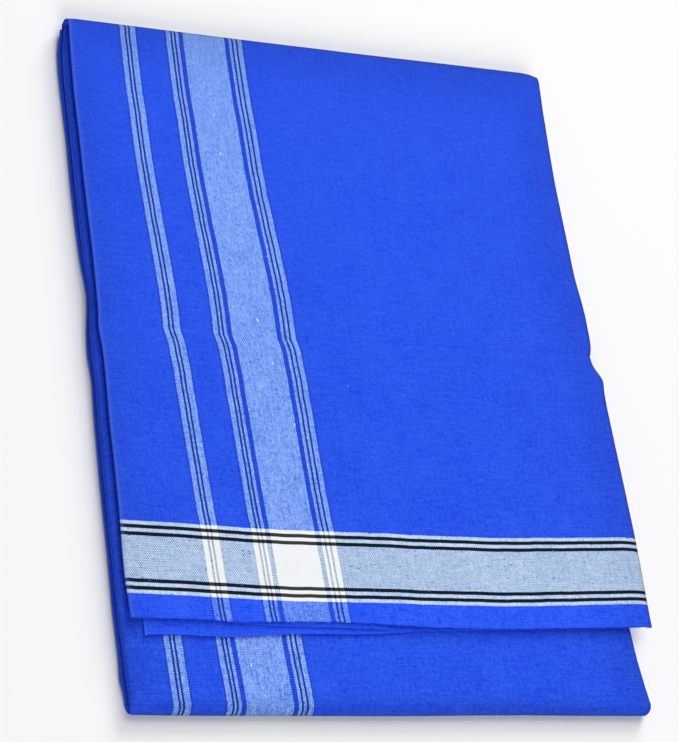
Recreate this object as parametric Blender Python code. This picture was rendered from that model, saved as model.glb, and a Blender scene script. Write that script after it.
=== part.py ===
"""A length of cotton cloth (a dhoti), folded into a flat rectangular pack.

The cloth is folded in four across its width and in half along its length. The long strip that this
makes is then rolled in three: the back, which lies on the table, the base over it, and a front flap
that comes over the top fold and down the face. Each stretch of the outer cloth that shows is a wall of
its own, and the plies inside share one solid, with a leaf standing out between the two bundles.

+X runs across the pack, +Y from its bottom fold to its top fold, and +Z up from the table. Sizes are in
millimetres, measured from the pack's lower left corner, and the finished pack is moved so that the
origin is at the middle of its underside. The meshes are in metres.
"""

import math
from typing import NamedTuple

import bmesh
import bpy

MM = 0.001

# Driving sizes
PACK_LENGTH = 397.0  # bottom fold to top fold, near the left side
WALL = 1.0  # a cloth wall, which stands for the plies that lie pressed together in it
GAP = 0.3  # between two walls that touch
BASE_TOP = 9.9  # height of the base's face, and so the thickness of its two bundles
LAYER_PITCH = WALL + GAP
SECOND_TOP = BASE_TOP + LAYER_PITCH
MIDDLE_TOP = SECOND_TOP + LAYER_PITCH
FLAP_TOP = MIDDLE_TOP + LAYER_PITCH

# Side folds of the two bundles
GROOVE_HALF_HEIGHT = 0.6  # the open groove between the bundles' folds, up or down from its middle
FOLD_TUCK_DEG = 80.0  # how far a side fold curls past its outermost line
BEND_TUCK_DEG = 30.0  # and where it goes round the bottom fold
FOLD_STEPS = 6

# Where the sections of each sheet have their points, as fractions of its width
FACE_FRACTIONS = (0.05, 0.16, 0.30, 0.44, 0.58, 0.72, 0.86, 0.95)
FLAP_FRACTIONS = (0.0, 0.025, 0.08, 0.16, 0.25, 0.36, 0.47, 0.53)
FLAP_FRACTIONS += (0.59, 0.66, 0.78, 0.88, 0.955, 0.97, 0.985, 1.0)
MIDDLE_FRACTIONS = (0.0, 0.06, 0.2, 0.4, 0.6, 0.8, 0.94, 1.0)
SECOND_FRACTIONS = (0.0, 0.03, 0.1, 0.2, 0.31, 0.45, 0.6, 0.75, 0.9, 1.0)

# Bottom fold
BOTTOM_RADIUS = BASE_TOP / 2
BOTTOM_REACH = 5.7  # from the end of the flat face to the outermost line
BOTTOM_STEPS = 9
BOTTOM_CORNER = 1.5  # how far the fold's ends draw in where it turns
CORNER_POWER = 4  # the draw keeps to the outermost part of the turn

# Top fold
NOSE_REACH = 4.0  # from the end of the flat face to the outermost line
NOSE_STEPS = 8
NOSE_CORNER = 0.7
NOSE_START = PACK_LENGTH - NOSE_REACH
BASE_END = 388.0  # the base bundle stops inside the top fold
LAYER_END = 386.0  # and so do the flap's inner layers

# Front flap
FLAP_END = 46.0  # the cut end's mean place along the pack
END_FADE = 45.0  # the cut ends' bow dies away over this length
STEP_DROP = 1.2  # the flap settles by this much past the edge of its middle layer
STEP_WIDTH = 45.0
EDGE_DROOP = 1.6  # the flap's right edge hangs this far
DROOP_WIDTH = 14.0
MIDDLE_LEFT = 6.0
MIDDLE_RIGHT = 145.7  # the woven edge of the middle layer
SECOND_LEFT = 11.9
SECOND_RIGHT = 283.0

# Plies inside
CORE_SIDE = 2.7  # from a side fold's outermost line to the plies behind it
CORE_EDGE_DROP = 0.8
CORE_EDGE_INSET = 0.9
LEAF_REACH = 0.9  # from a side fold's outermost line to the leaf in the groove
LEAF_HALF_HEIGHT = 0.45
LEAF_START = 6.0
LEAF_FADE = 5.0
CORE_END = 384.0
CORE_ROUNDING = 3.0
CORE_LAST_HEIGHT = 0.55  # of the full height, at the rounded inner end
CORE_BEND_DEGREES = (75.0, 55.0, 35.0, 17.0)

BLUE = (0.025, 0.091, 0.823, 1.0)
SHADED_BLUE = (0.017, 0.062, 0.60, 1.0)


class SideRow(NamedTuple):
    """A section across the two bundles: where it is, and the outermost line of each side fold."""

    along: float
    left_lower: float
    left_upper: float
    right_upper: float
    right_lower: float


class LiftRow(NamedTuple):
    """A section along the pack: the height of its underside and of the groove between the bundles."""

    along: float
    underside: float
    groove: float


class FlapRow(NamedTuple):
    """A section across the flap: where it is, and its left and right edges."""

    along: float
    left: float
    right: float


class EndRow(NamedTuple):
    """A point of a cut end: its place across the pack, and along it."""

    across: float
    along: float


class Crease(NamedTuple):
    """A fold line across the pack: a trough where rise is below 0, or else a ridge."""

    along: float
    rise: float
    half_width: float


SIDES = (
    SideRow(5.0, 0.8, 1.2, 300.8, 301.2),
    SideRow(12.0, 0.5, 0.9, 299.6, 299.9),
    SideRow(17.0, -0.6, 0.4, 299.0, 299.2),
    SideRow(30.0, -0.6, 0.0, 297.5, 297.8),
    SideRow(52.0, -1.5, -0.6, 296.3, 296.9),
    SideRow(82.0, -0.8, -0.4, 296.2, 296.8),
    SideRow(120.0, -1.0, -0.5, 297.3, 297.9),
    SideRow(158.0, -0.7, -0.2, 297.6, 298.1),
    SideRow(180.0, 0.2, 0.5, 297.2, 297.6),
    SideRow(194.0, -0.9, -0.2, 297.9, 298.5),
    SideRow(209.0, -0.3, 0.3, 297.4, 298.0),
    SideRow(219.0, 1.3, 1.5, 296.2, 296.7),
    SideRow(230.0, 1.9, 2.0, 295.8, 296.2),
    SideRow(251.0, -0.1, 0.7, 297.0, 297.5),
    SideRow(295.0, -0.5, 0.3, 297.7, 298.2),
    SideRow(324.0, -0.2, 0.5, 298.0, 298.5),
    SideRow(360.0, -0.9, 0.3, 298.5, 299.3),
    SideRow(375.0, 0.0, 0.9, 298.4, 299.9),
    SideRow(384.0, 0.8, 1.7, 298.0, 300.6),
    SideRow(393.0, 2.8, 3.4, 298.0, 302.0),
)

LIFTS = (
    LiftRow(5.0, 0.0, 4.7),
    LiftRow(368.0, 0.0, 4.7),
    LiftRow(376.0, 0.3, 4.9),
    LiftRow(384.0, 1.1, 5.3),
    LiftRow(393.0, 2.6, 6.2),
)

FLAP_EDGES = (
    FlapRow(46.0, 3.7, 308.6),
    FlapRow(56.0, 3.5, 308.7),
    FlapRow(68.0, 2.9, 309.0),
    FlapRow(82.0, 3.1, 309.2),
    FlapRow(98.0, 3.5, 309.2),
    FlapRow(125.0, 3.6, 308.7),
    FlapRow(153.0, 3.4, 307.9),
    FlapRow(178.0, 3.9, 307.3),
    FlapRow(188.0, 3.9, 307.4),
    FlapRow(196.0, 3.7, 307.8),
    FlapRow(203.0, 2.8, 304.3),
    FlapRow(209.0, 2.8, 302.9),
    FlapRow(217.0, 3.6, 304.4),
    FlapRow(237.0, 3.8, 304.5),
    FlapRow(252.0, 3.8, 302.7),
    FlapRow(298.0, 3.1, 301.7),
    FlapRow(322.0, 3.1, 301.2),
    FlapRow(345.0, 2.7, 301.7),
    FlapRow(372.0, 3.1, 302.5),
    FlapRow(386.0, 3.6, 303.3),
    FlapRow(393.0, 3.9, 303.7),
)

FLAP_CUT = (
    EndRow(3.7, 47.0),
    EndRow(26.0, 46.4),
    EndRow(77.0, 44.8),
    EndRow(125.0, 45.2),
    EndRow(145.0, 45.0),
    EndRow(176.0, 43.9),
    EndRow(201.0, 43.8),
    EndRow(248.0, 44.7),
    EndRow(308.6, 47.3),
)

MIDDLE_CUT = (
    EndRow(6.0, 45.8),
    EndRow(30.0, 45.0),
    EndRow(60.0, 43.6),
    EndRow(114.0, 43.2),
    EndRow(145.7, 42.7),
)

SECOND_CUT = (
    EndRow(11.9, 38.8),
    EndRow(52.0, 38.2),
    EndRow(96.0, 40.3),
    EndRow(136.0, 40.3),
    EndRow(168.0, 42.6),
    EndRow(228.0, 44.6),
    EndRow(260.0, 46.2),
    EndRow(283.0, 46.8),
)

# The top fold's outermost line, which isn't quite square to the sides
TOP_FOLD = (
    EndRow(3.0, 397.6),
    EndRow(120.0, 397.8),
    EndRow(180.0, 398.5),
    EndRow(240.0, 399.4),
    EndRow(303.0, 400.1),
)

# The old fold line, which crosses every ply above the lower bundle
CREASES = (
    Crease(209.0, -0.9, 5.0),
    Crease(196.0, 0.6, 7.0),
    Crease(228.0, 0.3, 10.0),
)


def read(rows, column, place):
    """The value of one column of a table at a place, on straight lines between the rows."""
    if place <= rows[0][0]:
        return getattr(rows[0], column)
    for before, after in zip(rows, rows[1:]):
        if place <= after[0]:
            share = (place - before[0]) / (after[0] - before[0])
            return (1 - share) * getattr(before, column) + share * getattr(after, column)
    return getattr(rows[-1], column)


def ease(share):
    """A smooth step from 0 to 1."""
    share = min(max(share, 0.0), 1.0)
    return share * share * (3 - 2 * share)


def relief(along):
    """How far the old fold line raises or lowers the plies at a place along the pack."""
    return sum(
        crease.rise * math.exp(-(((along - crease.along) / crease.half_width) ** 2))
        for crease in CREASES
    )


def flap_height(across, along):
    """Height of the flap's face: it settles past its middle layer, and its right edge hangs."""
    right = read(FLAP_EDGES, "right", along)
    step = STEP_DROP * ease((across - MIDDLE_RIGHT) / STEP_WIDTH)
    hang = EDGE_DROOP * max(0.0, (across - right + DROOP_WIDTH) / DROOP_WIDTH) ** 2
    return FLAP_TOP + relief(along) - step - hang


def fold_section(left, right, radius, tuck=FOLD_TUCK_DEG):
    """(across, depth) of a sheet from its left tucked edge, over its face, to its right tucked edge.

    Depth is measured from the face, into the bundle.
    """
    angles = [
        math.radians(-tuck + (90 + tuck) * step / FOLD_STEPS) for step in range(FOLD_STEPS + 1)
    ]
    curl = [(radius * (1 - math.cos(a)), radius * (1 - math.sin(a))) for a in angles]
    flat = right - left - 2 * radius
    section = [(left + inset, depth) for inset, depth in curl]
    section += [(left + radius + flat * share, 0.0) for share in FACE_FRACTIONS]
    section += [(right - inset, depth) for inset, depth in reversed(curl)]
    return section


def upper_radius(along):
    """Radius of the base bundle's side folds."""
    lowest = read(LIFTS, "groove", along) + GROOVE_HALF_HEIGHT
    return (BASE_TOP + relief(along) - lowest) / 2


def lower_radius(along):
    """Radius of the back bundle's side folds."""
    highest = read(LIFTS, "groove", along) - GROOVE_HALF_HEIGHT
    return (highest - read(LIFTS, "underside", along)) / 2


def base_rows():
    """The base: round the bottom fold from underneath, then up the face to its inner end."""
    rows = []
    left = read(SIDES, "left_upper", BOTTOM_RADIUS)
    right = read(SIDES, "right_upper", BOTTOM_RADIUS)
    for step in range(BOTTOM_STEPS):
        turn = math.pi * (1 - step / BOTTOM_STEPS)
        draw = BOTTOM_CORNER * math.sin(turn) ** CORNER_POWER
        radius = upper_radius(BOTTOM_RADIUS)
        section = fold_section(left + draw, right - draw, radius, BEND_TUCK_DEG)
        rows.append(
            [
                (
                    across,
                    BOTTOM_RADIUS - (BOTTOM_REACH - depth) * math.sin(turn),
                    BOTTOM_RADIUS + (BOTTOM_RADIUS - depth) * math.cos(turn),
                )
                for across, depth in section
            ]
        )
    places = [row.along for row in SIDES if row.along < BASE_END] + [BASE_END]
    for along in places:
        section = fold_section(
            read(SIDES, "left_upper", along),
            read(SIDES, "right_upper", along),
            upper_radius(along),
        )
        top = BASE_TOP + relief(along)
        rows.append([(across, along, top - depth) for across, depth in section])
    return rows


def back_rows():
    """The back: flat on the table, lifting a little to the top fold, with its side folds turned up."""
    rows = []
    places = [BOTTOM_RADIUS + GAP]
    places += [row.along for row in SIDES if places[0] < row.along < NOSE_START]
    places += [row.along for row in LIFTS if places[0] < row.along < NOSE_START]
    places.append(NOSE_START - GAP)
    for along in sorted(set(places)):
        section = fold_section(
            read(SIDES, "left_lower", along),
            read(SIDES, "right_lower", along),
            lower_radius(along),
        )
        underside = read(LIFTS, "underside", along)
        rows.append([(across, along, underside + depth) for across, depth in reversed(section)])
    return rows


def layer_rows(left, right, cut, top, shares, end):
    """One inner layer of the flap, from its cut end to its inner end under the top fold."""
    rows = []
    places = [row.along for row in FLAP_EDGES if row.along < end] + [end]
    for along in places:
        fade = max(0.0, 1 - (along - FLAP_END) / END_FADE)
        row = []
        for share in shares:
            across = left + (right - left) * share
            place = along + fade * (read(cut, "along", across) - FLAP_END)
            row.append((across, place, top + relief(place)))
        rows.append(row)
    return rows


def flap_rows():
    """The flap's face: from its cut end up to the top fold, and round it to the back."""
    rows = []
    for flap in FLAP_EDGES:
        fade = max(0.0, 1 - (flap.along - FLAP_END) / END_FADE)
        row = []
        for share in FLAP_FRACTIONS:
            across = flap.left + (flap.right - flap.left) * share
            place = flap.along + fade * (read(FLAP_CUT, "along", across) - FLAP_END)
            row.append((across, place, flap_height(across, place)))
        rows.append(row)
    edge = FLAP_EDGES[-1]
    back = read(LIFTS, "underside", NOSE_START)
    for step in range(1, NOSE_STEPS + 1):
        turn = math.pi * step / NOSE_STEPS
        draw = NOSE_CORNER * math.sin(turn) ** CORNER_POWER
        row = []
        for share in FLAP_FRACTIONS:
            across = edge.left + draw + (edge.right - edge.left - 2 * draw) * share
            half = (flap_height(across, NOSE_START) - back) / 2
            reach = read(TOP_FOLD, "along", across) - NOSE_START
            place = NOSE_START + reach * math.sin(turn)
            row.append((across, place, back + half * (1 + math.cos(turn))))
        rows.append(row)
    return rows


def side_row(along):
    """The side folds' outermost lines at any place along the pack."""
    return SideRow(along, *(read(SIDES, column, along) for column in SideRow._fields[1:]))


def core_ring(sides, along, bottom, top, leaf):
    """A closed section through the plies inside: from the left leaf over the top and back below."""
    groove = min(max(read(LIFTS, "groove", along), bottom + 1.0), top - 1.0)
    reach = CORE_SIDE - (CORE_SIDE - LEAF_REACH) * leaf
    drop = min(CORE_EDGE_DROP, (top - bottom) / 4)
    half_leaf = min(LEAF_HALF_HEIGHT, (top - bottom) / 8)

    def side(edge, inward, level, step):
        """Points of one side, from the leaf to the edge of the flat, upwards or downwards."""
        return [
            (edge + inward * CORE_SIDE, groove + step * half_leaf),
            (edge + inward * CORE_SIDE, level - step * drop),
            (edge + inward * (CORE_SIDE + CORE_EDGE_INSET), level),
        ]

    def flat(left, right, level):
        start = left + CORE_SIDE + CORE_EDGE_INSET
        width = right - left - 2 * (CORE_SIDE + CORE_EDGE_INSET)
        return [(start + width * share, level) for share in FACE_FRACTIONS]

    left_tip = (min(sides.left_lower, sides.left_upper) + reach, groove)
    right_tip = (max(sides.right_lower, sides.right_upper) - reach, groove)
    over = side(sides.left_upper, 1, top, 1)
    over += flat(sides.left_upper, sides.right_upper, top)
    over += reversed(side(sides.right_upper, -1, top, 1))
    under = side(sides.left_lower, 1, bottom, -1)
    under += flat(sides.left_lower, sides.right_lower, bottom)
    under += reversed(side(sides.right_lower, -1, bottom, -1))
    section = [left_tip, *over, right_tip, *reversed(under)]
    return [(across, along, height) for across, height in section]


def core_rings():
    """Sections of the plies inside, from the bottom fold to their rounded inner end."""
    rings = []
    inner_radius = BOTTOM_RADIUS - LAYER_PITCH
    left = read(SIDES, "left_upper", BOTTOM_RADIUS) + BOTTOM_CORNER
    right = read(SIDES, "right_upper", BOTTOM_RADIUS) - BOTTOM_CORNER
    for degrees in CORE_BEND_DEGREES:
        turn = math.radians(degrees)
        along = BOTTOM_RADIUS - inner_radius * math.sin(turn)
        half = inner_radius * math.cos(turn)
        sides = SideRow(along, left, left, right, right)
        rings.append(core_ring(sides, along, BOTTOM_RADIUS - half, BOTTOM_RADIUS + half, 0.0))
    places = [LEAF_START] + [row.along for row in SIDES if LEAF_START < row.along < CORE_END]
    for along in [*places, CORE_END - CORE_ROUNDING, CORE_END]:
        bottom = read(LIFTS, "underside", along) + LAYER_PITCH
        top = BASE_TOP + relief(along) - LAYER_PITCH
        if along == CORE_END:
            middle = (bottom + top) / 2
            bottom = middle + CORE_LAST_HEIGHT * (bottom - middle)
            top = middle + CORE_LAST_HEIGHT * (top - middle)
        leaf = ease((along - LEAF_START) / LEAF_FADE)
        rings.append(core_ring(side_row(along), along, bottom, top, leaf))
    return rings


def cloth_material(name, colour):
    """A plain cotton finish."""
    material = bpy.data.materials.new(name)
    material.use_nodes = True
    shader = material.node_tree.nodes["Principled BSDF"]
    shader.inputs["Base Color"].default_value = colour
    shader.inputs["Roughness"].default_value = 0.9
    shader.inputs["Metallic"].default_value = 0.0
    return material


def add_object(name, mesh_maker, origin, colour):
    """A new object whose mesh is filled by mesh_maker(bmesh, place)."""
    mesh = bpy.data.meshes.new(name)
    form = bmesh.new()

    def place(point):
        moved = [(value - start) * MM for value, start in zip(point, origin)]
        return form.verts.new(moved)

    mesh_maker(form, place)
    form.to_mesh(mesh)
    form.free()
    mesh.materials.append(cloth_material(name, colour))
    obj = bpy.data.objects.new(name, mesh)
    bpy.context.scene.collection.objects.link(obj)
    return obj


def add_sheet(name, rows, origin, colour):
    """A wall of cloth whose outer surface passes through the rows, with its thickness inwards."""

    def fill(form, place):
        grid = [[place(point) for point in row] for row in rows]
        for here, beyond in zip(grid, grid[1:]):
            for step in range(len(here) - 1):
                form.faces.new((here[step], here[step + 1], beyond[step + 1], beyond[step]))

    obj = add_object(name, fill, origin, colour)
    wall = obj.modifiers.new("wall", "SOLIDIFY")
    wall.thickness = WALL * MM
    wall.offset = -1.0
    wall.use_even_offset = True
    wall.use_quality_normals = True
    return obj


def add_loft(name, rings, origin, colour):
    """A solid through closed rings, each of which mirrors top to bottom about its first point."""

    def fill(form, place):
        grid = [[place(point) for point in ring] for ring in rings]
        count = len(grid[0])
        for here, beyond in zip(grid, grid[1:]):
            for step in range(count):
                after = (step + 1) % count
                form.faces.new((here[step], here[after], beyond[after], beyond[step]))
        for end in (grid[0], grid[-1]):
            for step in range(count // 2):
                corners = [end[step], end[step + 1], end[count - step - 1], end[-step]]
                form.faces.new(list(dict.fromkeys(corners)))
        bmesh.ops.recalc_face_normals(form, faces=form.faces)

    return add_object(name, fill, origin, colour)


def pack_origin(sheets):
    """The middle of the pack's box, at the height of the table."""
    points = [point for rows in sheets for row in rows for point in row]
    across = [point[0] for point in points]
    along = [point[1] for point in points]
    return ((min(across) + max(across)) / 2, (min(along) + max(along)) / 2, 0.0)


def main():
    for obj in list(bpy.data.objects):
        bpy.data.objects.remove(obj, do_unlink=True)

    sheets = {
        "back_panel": back_rows(),
        "base_face": base_rows(),
        "flap_second_layer": layer_rows(
            SECOND_LEFT, SECOND_RIGHT, SECOND_CUT, SECOND_TOP, SECOND_FRACTIONS, LAYER_END
        ),
        "flap_middle_layer": layer_rows(
            MIDDLE_LEFT, MIDDLE_RIGHT, MIDDLE_CUT, MIDDLE_TOP, MIDDLE_FRACTIONS, LAYER_END
        ),
        "flap_face": flap_rows(),
    }
    origin = pack_origin(sheets.values())
    add_loft("hidden_layers", core_rings(), origin, SHADED_BLUE)
    for name, rows in sheets.items():
        add_sheet(name, rows, origin, BLUE)


if __name__ == "__main__":
    main()
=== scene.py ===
"""A folded dhoti cloth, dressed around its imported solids.

Each run of cloth that shows is a thin shell of its own, which follows the form of the solid that it
stands for: the front flap with its fold and its inner layers, the base, the back and the plies inside.
All plan measures here are in millimetres from the pack's lower left corner, as on a cutting plan, and
every mesh is moved to the frame's origin and into metres when it is made.
"""

import logging
import math
from dataclasses import dataclass
from enum import Enum
from typing import NamedTuple, Sequence

import bpy
import numpy as np
from mathutils import Matrix, Vector


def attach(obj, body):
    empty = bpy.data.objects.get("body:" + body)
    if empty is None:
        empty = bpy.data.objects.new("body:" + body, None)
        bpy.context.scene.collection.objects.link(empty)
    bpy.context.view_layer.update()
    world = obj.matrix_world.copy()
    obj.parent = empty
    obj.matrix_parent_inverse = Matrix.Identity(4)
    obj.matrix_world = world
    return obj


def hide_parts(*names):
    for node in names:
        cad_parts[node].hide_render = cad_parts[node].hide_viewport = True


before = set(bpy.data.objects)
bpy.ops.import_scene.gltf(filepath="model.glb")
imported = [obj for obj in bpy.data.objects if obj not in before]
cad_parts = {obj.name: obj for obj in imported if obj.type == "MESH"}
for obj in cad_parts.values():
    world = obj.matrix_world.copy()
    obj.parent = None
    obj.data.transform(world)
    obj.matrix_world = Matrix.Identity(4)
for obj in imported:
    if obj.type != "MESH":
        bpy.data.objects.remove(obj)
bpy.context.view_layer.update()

log = logging.getLogger("dhoti")

Array = np.ndarray
Couple = tuple[float, float]
Triple = tuple[float, float, float]
Rgb = Triple
Pair = tuple[Rgb, Rgb]  # with the warp on top and with the weft on top
Rows = Sequence[Couple]

MM = 0.001
ORIGIN = (153.85, 199.718)  # of the frame, on the cutting plan
BODY = "root"
UV_NAME = "cloth_uv"
PALE_NAME = "pale_edge"
# the attribute below holds each point's distance to the outline, which sets the painted shade near it
OUTLINE_NAME = "outline_distance"
WHITE_YARN = "white_yarn"

# Heights of the faces, and the pack's length
BASE_TOP = 9.9
PLY_PITCH = 1.3
FLAP_TOP = BASE_TOP + 3 * PLY_PITCH
FOLD_START = 393.0  # where the flap begins to turn over the top fold
CLOTH = 0.38  # thickness of one ply
SEAM_DEPTH = 0.42  # of the line between two plies in a side fold
SEAM_OFFSETS = np.array([-16.0, -9.0, -4.0, 0.0, 4.0, 9.0, 16.0])  # of the columns beside it, in degrees
FOLD_COLUMNS = np.array([0.4, 0.9, 1.5])  # of a doubled ply, from where its fold ends
EDGE_COLUMNS = np.array([1.4, 0.8, 0.4, 0.0])  # from its woven edge
# distances to the outline, which set the painted shade near it
RIM_START = 28.0  # degrees above a right fold's outermost line where it is the outline, as it is seen
RIM_DEPTH = 1.45  # from there to where the fold becomes flat, as it is seen
LEFT_AWAY = 5.0  # from the outline, for all of a left fold, whose painted shade is as pale as the face's
DOUBLED_AWAY = 9.0  # from the outline, for a doubled ply's fold and its lower ply


class Wrinkle(NamedTuple):
    """A soft ridge, or a trough where rise is below 0, that lies mostly across the pack."""

    across: float
    along: float
    length: float
    width: float
    rise: float
    lean: float  # how far it climbs along the pack for each mm across


class Side(Enum):
    """A side of the pack."""

    LEFT = "left"
    RIGHT = "right"


# Outermost lines of the side folds: (along, across)
LOWER_LEFT: Rows = (
    (5, 0.5), (8, 0.45), (10, 0.4), (14, -0.2), (17.2, -1.1), (20, -0.8), (24, -0.5), (30, -0.4), (52, -1.0),
    (82, -0.6), (120, -0.7), (158, -0.3), (180, 0.5), (194, -0.6), (209, 0.3), (219, 1.7), (230, 2.5),
    (251, 0.6), (268, 0.1), (295, -0.3), (324, -0.1), (352, -0.6), (368, -0.7), (378, -0.2), (385, 0.7),
    (393, 2.2),
)
UPPER_LEFT: Rows = (
    (5, 0.6), (12, 0.6), (17, 0.3), (30, 0.0), (52, -0.6), (82, -0.4), (120, -0.5), (158, -0.2), (180, 0.5),
    (194, -0.2), (209, 0.3), (219, 1.5), (230, 2.0), (251, 0.7), (295, 0.3), (324, 0.5), (360, 0.3),
    (375, 0.9), (384, 1.7), (393, 3.4),
)
UPPER_RIGHT: Rows = (
    (5, 300.8), (12, 299.6), (17, 299.0), (30, 297.5), (52, 296.3), (82, 296.2), (120, 297.3), (158, 297.6),
    (180, 297.2), (194, 297.9), (209, 297.4), (219, 296.2), (230, 295.8), (251, 297.0), (295, 297.7),
    (324, 298.0), (360, 298.5), (375, 298.4), (393, 298.0),
)
LOWER_RIGHT: Rows = (
    (5, 301.2), (12, 299.9), (17, 299.2), (30, 297.8), (52, 296.9), (82, 296.8), (120, 297.9), (158, 298.1),
    (180, 297.6), (194, 298.5), (209, 298.0), (219, 296.7), (230, 296.2), (251, 297.5), (295, 298.2),
    (324, 298.5), (360, 299.3), (375, 299.9), (384, 300.6), (393, 302.0),
)
UNDERSIDE: Rows = ((5, 0.0), (366, 0.0), (376, 0.3), (384, 1.1), (393, 2.6))
GROOVE: Rows = ((5, 4.7), (366, 4.7), (376, 4.9), (384, 5.3), (393, 6.2))

# The line between two plies in a side fold: (along, degrees above the fold's outermost line)
UPPER_SEAM: Rows = (
    (5, 5), (20, 0), (60, 12), (110, 20), (160, 26), (200, 34), (225, 20), (252, 24), (300, 38), (345, 30),
    (370, 42), (393, 50),
)
LOWER_SEAM: Rows = (
    (5, 20), (17, 34), (40, 26), (90, 36), (150, 40), (185, 30), (210, 44), (235, 30), (270, 36), (320, 22),
    (360, 30), (393, 40),
)

# The flap's edges: (along, across)
FLAP_LEFT: Rows = (
    (46, 3.7), (56, 3.5), (68, 2.9), (82, 3.1), (98, 3.5), (125, 3.6), (153, 3.4), (178, 3.9), (188, 3.9),
    (196, 3.7), (203, 2.8), (209, 2.8), (217, 3.6), (237, 3.8), (252, 3.8), (298, 3.1), (322, 3.1),
    (345, 2.7), (372, 3.1), (386, 3.6), (393, 3.9),
)
FLAP_RIGHT: Rows = (
    (46, 308.3), (56, 308.4), (68, 308.6), (82, 308.8), (98, 308.8), (125, 308.3), (153, 307.5), (178, 306.9),
    (188, 307.0), (192, 307.4), (195, 308.6), (197.5, 307.3), (199.5, 305.2), (202, 303.9), (205, 301.9),
    (207, 301.4), (210, 302.1), (215, 303.6), (221, 304.2), (237, 304.1), (249, 303.2), (254, 302.5),
    (262, 301.9), (298, 301.3), (322, 300.9), (345, 301.3), (372, 302.1), (386, 302.9), (393, 303.3),
)
MIDDLE_LEFT: Rows = ((46, 6.0), (120, 5.6), (393, 4.7))
MIDDLE_RIGHT: Rows = ((46, 145.7), (393, 150.0))
SECOND_LEFT: Rows = ((46, 11.3), (120, 10.2), (393, 5.4))
SECOND_RIGHT: Rows = ((46, 283.0), (120, 286.0), (393, 292.0))

# Cut ends and the top fold: (across, along)
CUT_MEAN = 46.0
FLAP_CUT: Rows = (
    (3.7, 46.1), (12, 46.25), (25, 46.1), (31, 46.15), (43, 46.2), (57, 45.35), (67, 45.0), (81, 45.5),
    (102, 46.05), (116, 45.9), (130, 45.6), (145, 45.0), (176, 43.7), (210, 43.6), (236, 44.25), (248, 44.55),
    (273, 45.2), (294, 45.8), (308.6, 46.4),
)
MIDDLE_CUT: Rows = ((6, 49.0), (30, 48.2), (50, 46.4), (64, 44.6), (80, 43.6), (114, 43.2), (145.7, 42.7))
SECOND_CUT: Rows = (
    (11.3, 38.3), (28, 38.8), (45, 38.1), (57, 37.8), (70, 38.5), (96, 40.1), (136, 40.3), (168, 42.6),
    (228, 44.6), (260, 46.2), (283, 46.8),
)
BOTTOM_FOLD: Rows = (  # (across, reach)
    (0, 5.4), (25, 5.85), (45, 5.95), (100, 6.1), (140, 6.3), (165, 6.25), (195, 5.95), (225, 5.95),
    (260, 6.2), (300, 6.4),
)
TOP_FOLD: Rows = ((3, 397.6), (120, 397.8), (180, 398.5), (240, 399.4), (303, 400.1))

# How the weave lies on the pack
STRIPES_SHIFT: Rows = (  # (along, how far the stripes stand to the right of their place at the top)
    (46, 14.8), (57, 14.3), (96, 12.7), (112, 11.6), (141, 10.3), (164, 9.35), (187, 8.35), (194, 7.85),
    (199.5, 7.45), (206, 5.85), (210, 5.6), (228, 5.65), (243, 4.85), (259, 3.7), (284, 1.9), (309, 0.4),
    (334, -0.1), (358, -1.0), (395, -1.0),
)
STRIPES_SPREAD: Rows = (  # (along, how much wider the stripes lie there, as a share)
    (46, 0.0), (125, -0.004), (150, 0.004), (175, 0.008), (200, 0.014), (245, 0.011), (270, 0.003),
    (295, -0.006), (330, -0.007), (355, -0.016), (380, -0.02), (395, -0.023),
)
WEFT_BOW: Rows = (  # (across, how far a weft thread stands up the pack)
    (4, 2.18), (49, 0.68), (78, -0.22), (98, -0.67), (146, -0.7), (190, -0.92), (216, -0.92), (249, 0.03),
    (308, 2.4),
)
BASE_SHIFT: Rows = ((-12, -10.65), (0, -10.85), (40, -12.45), (388, -25.0))
BACK_SHIFT: Rows = ((0, -10.5), (393, 0.0))
SPREAD_MIDDLE = 32.0  # the place that stays when the stripes lie wider
STRIPES_START = 33.9  # the first stripe's left edge at the top of the flap

# The old fold line: (across, along)
CREASE_LINE: Rows = ((3, 209.0), (62, 208.3), (79, 206.0), (120, 206.4), (161, 207.5), (302, 210.2))
CREASE_DEPTH = 0.5
CREASE_WIDTH = 0.8
CREASE_RIDGES = ((-4.5, 3.5, 0.3), (6.0, 5.0, 0.16))  # (place beside the line, width, rise)

FLAP_WRINKLES = [
    Wrinkle(*row)
    for row in (
        (160, 268, 90, 2.6, 0.16, 0.01), (205, 251, 60, 3.0, -0.18, 0.03), (120, 292, 40, 2.2, -0.14, 0.0),
        (96, 240, 26, 3.0, 0.16, -0.05), (244, 300, 70, 5.0, 0.2, -0.04), (262, 196, 70, 4.0, -0.28, 0.02),
        (128, 194, 24, 4.5, -0.3, -0.08), (190, 160, 80, 2.4, 0.16, 0.02), (226, 146, 60, 3.4, -0.16, -0.03),
        (150, 132, 50, 3.0, 0.12, 0.05), (262, 118, 60, 3.6, 0.2, 0.0), (24, 128, 24, 3.0, -0.16, 0.06),
        (22, 232, 22, 3.2, 0.2, -0.05), (30, 330, 40, 4.0, -0.14, 0.02), (216, 352, 90, 4.4, 0.18, 0.03),
        (270, 376, 50, 3.4, -0.24, 0.05), (120, 370, 70, 3.2, 0.14, -0.02), (196, 54, 120, 2.8, 0.12, 0.0),
    )
]
BASE_WRINKLES = [
    Wrinkle(*row)
    for row in (
        (210, 24, 80, 2.6, 0.16, 0.02), (140, 12, 60, 2.4, -0.14, -0.02), (268, 16, 40, 3.4, -0.2, 0.06),
        (50, 20, 30, 2.6, 0.12, 0.04), (20, 36, 22, 3.0, -0.16, 0.05),
    )
]
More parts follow.
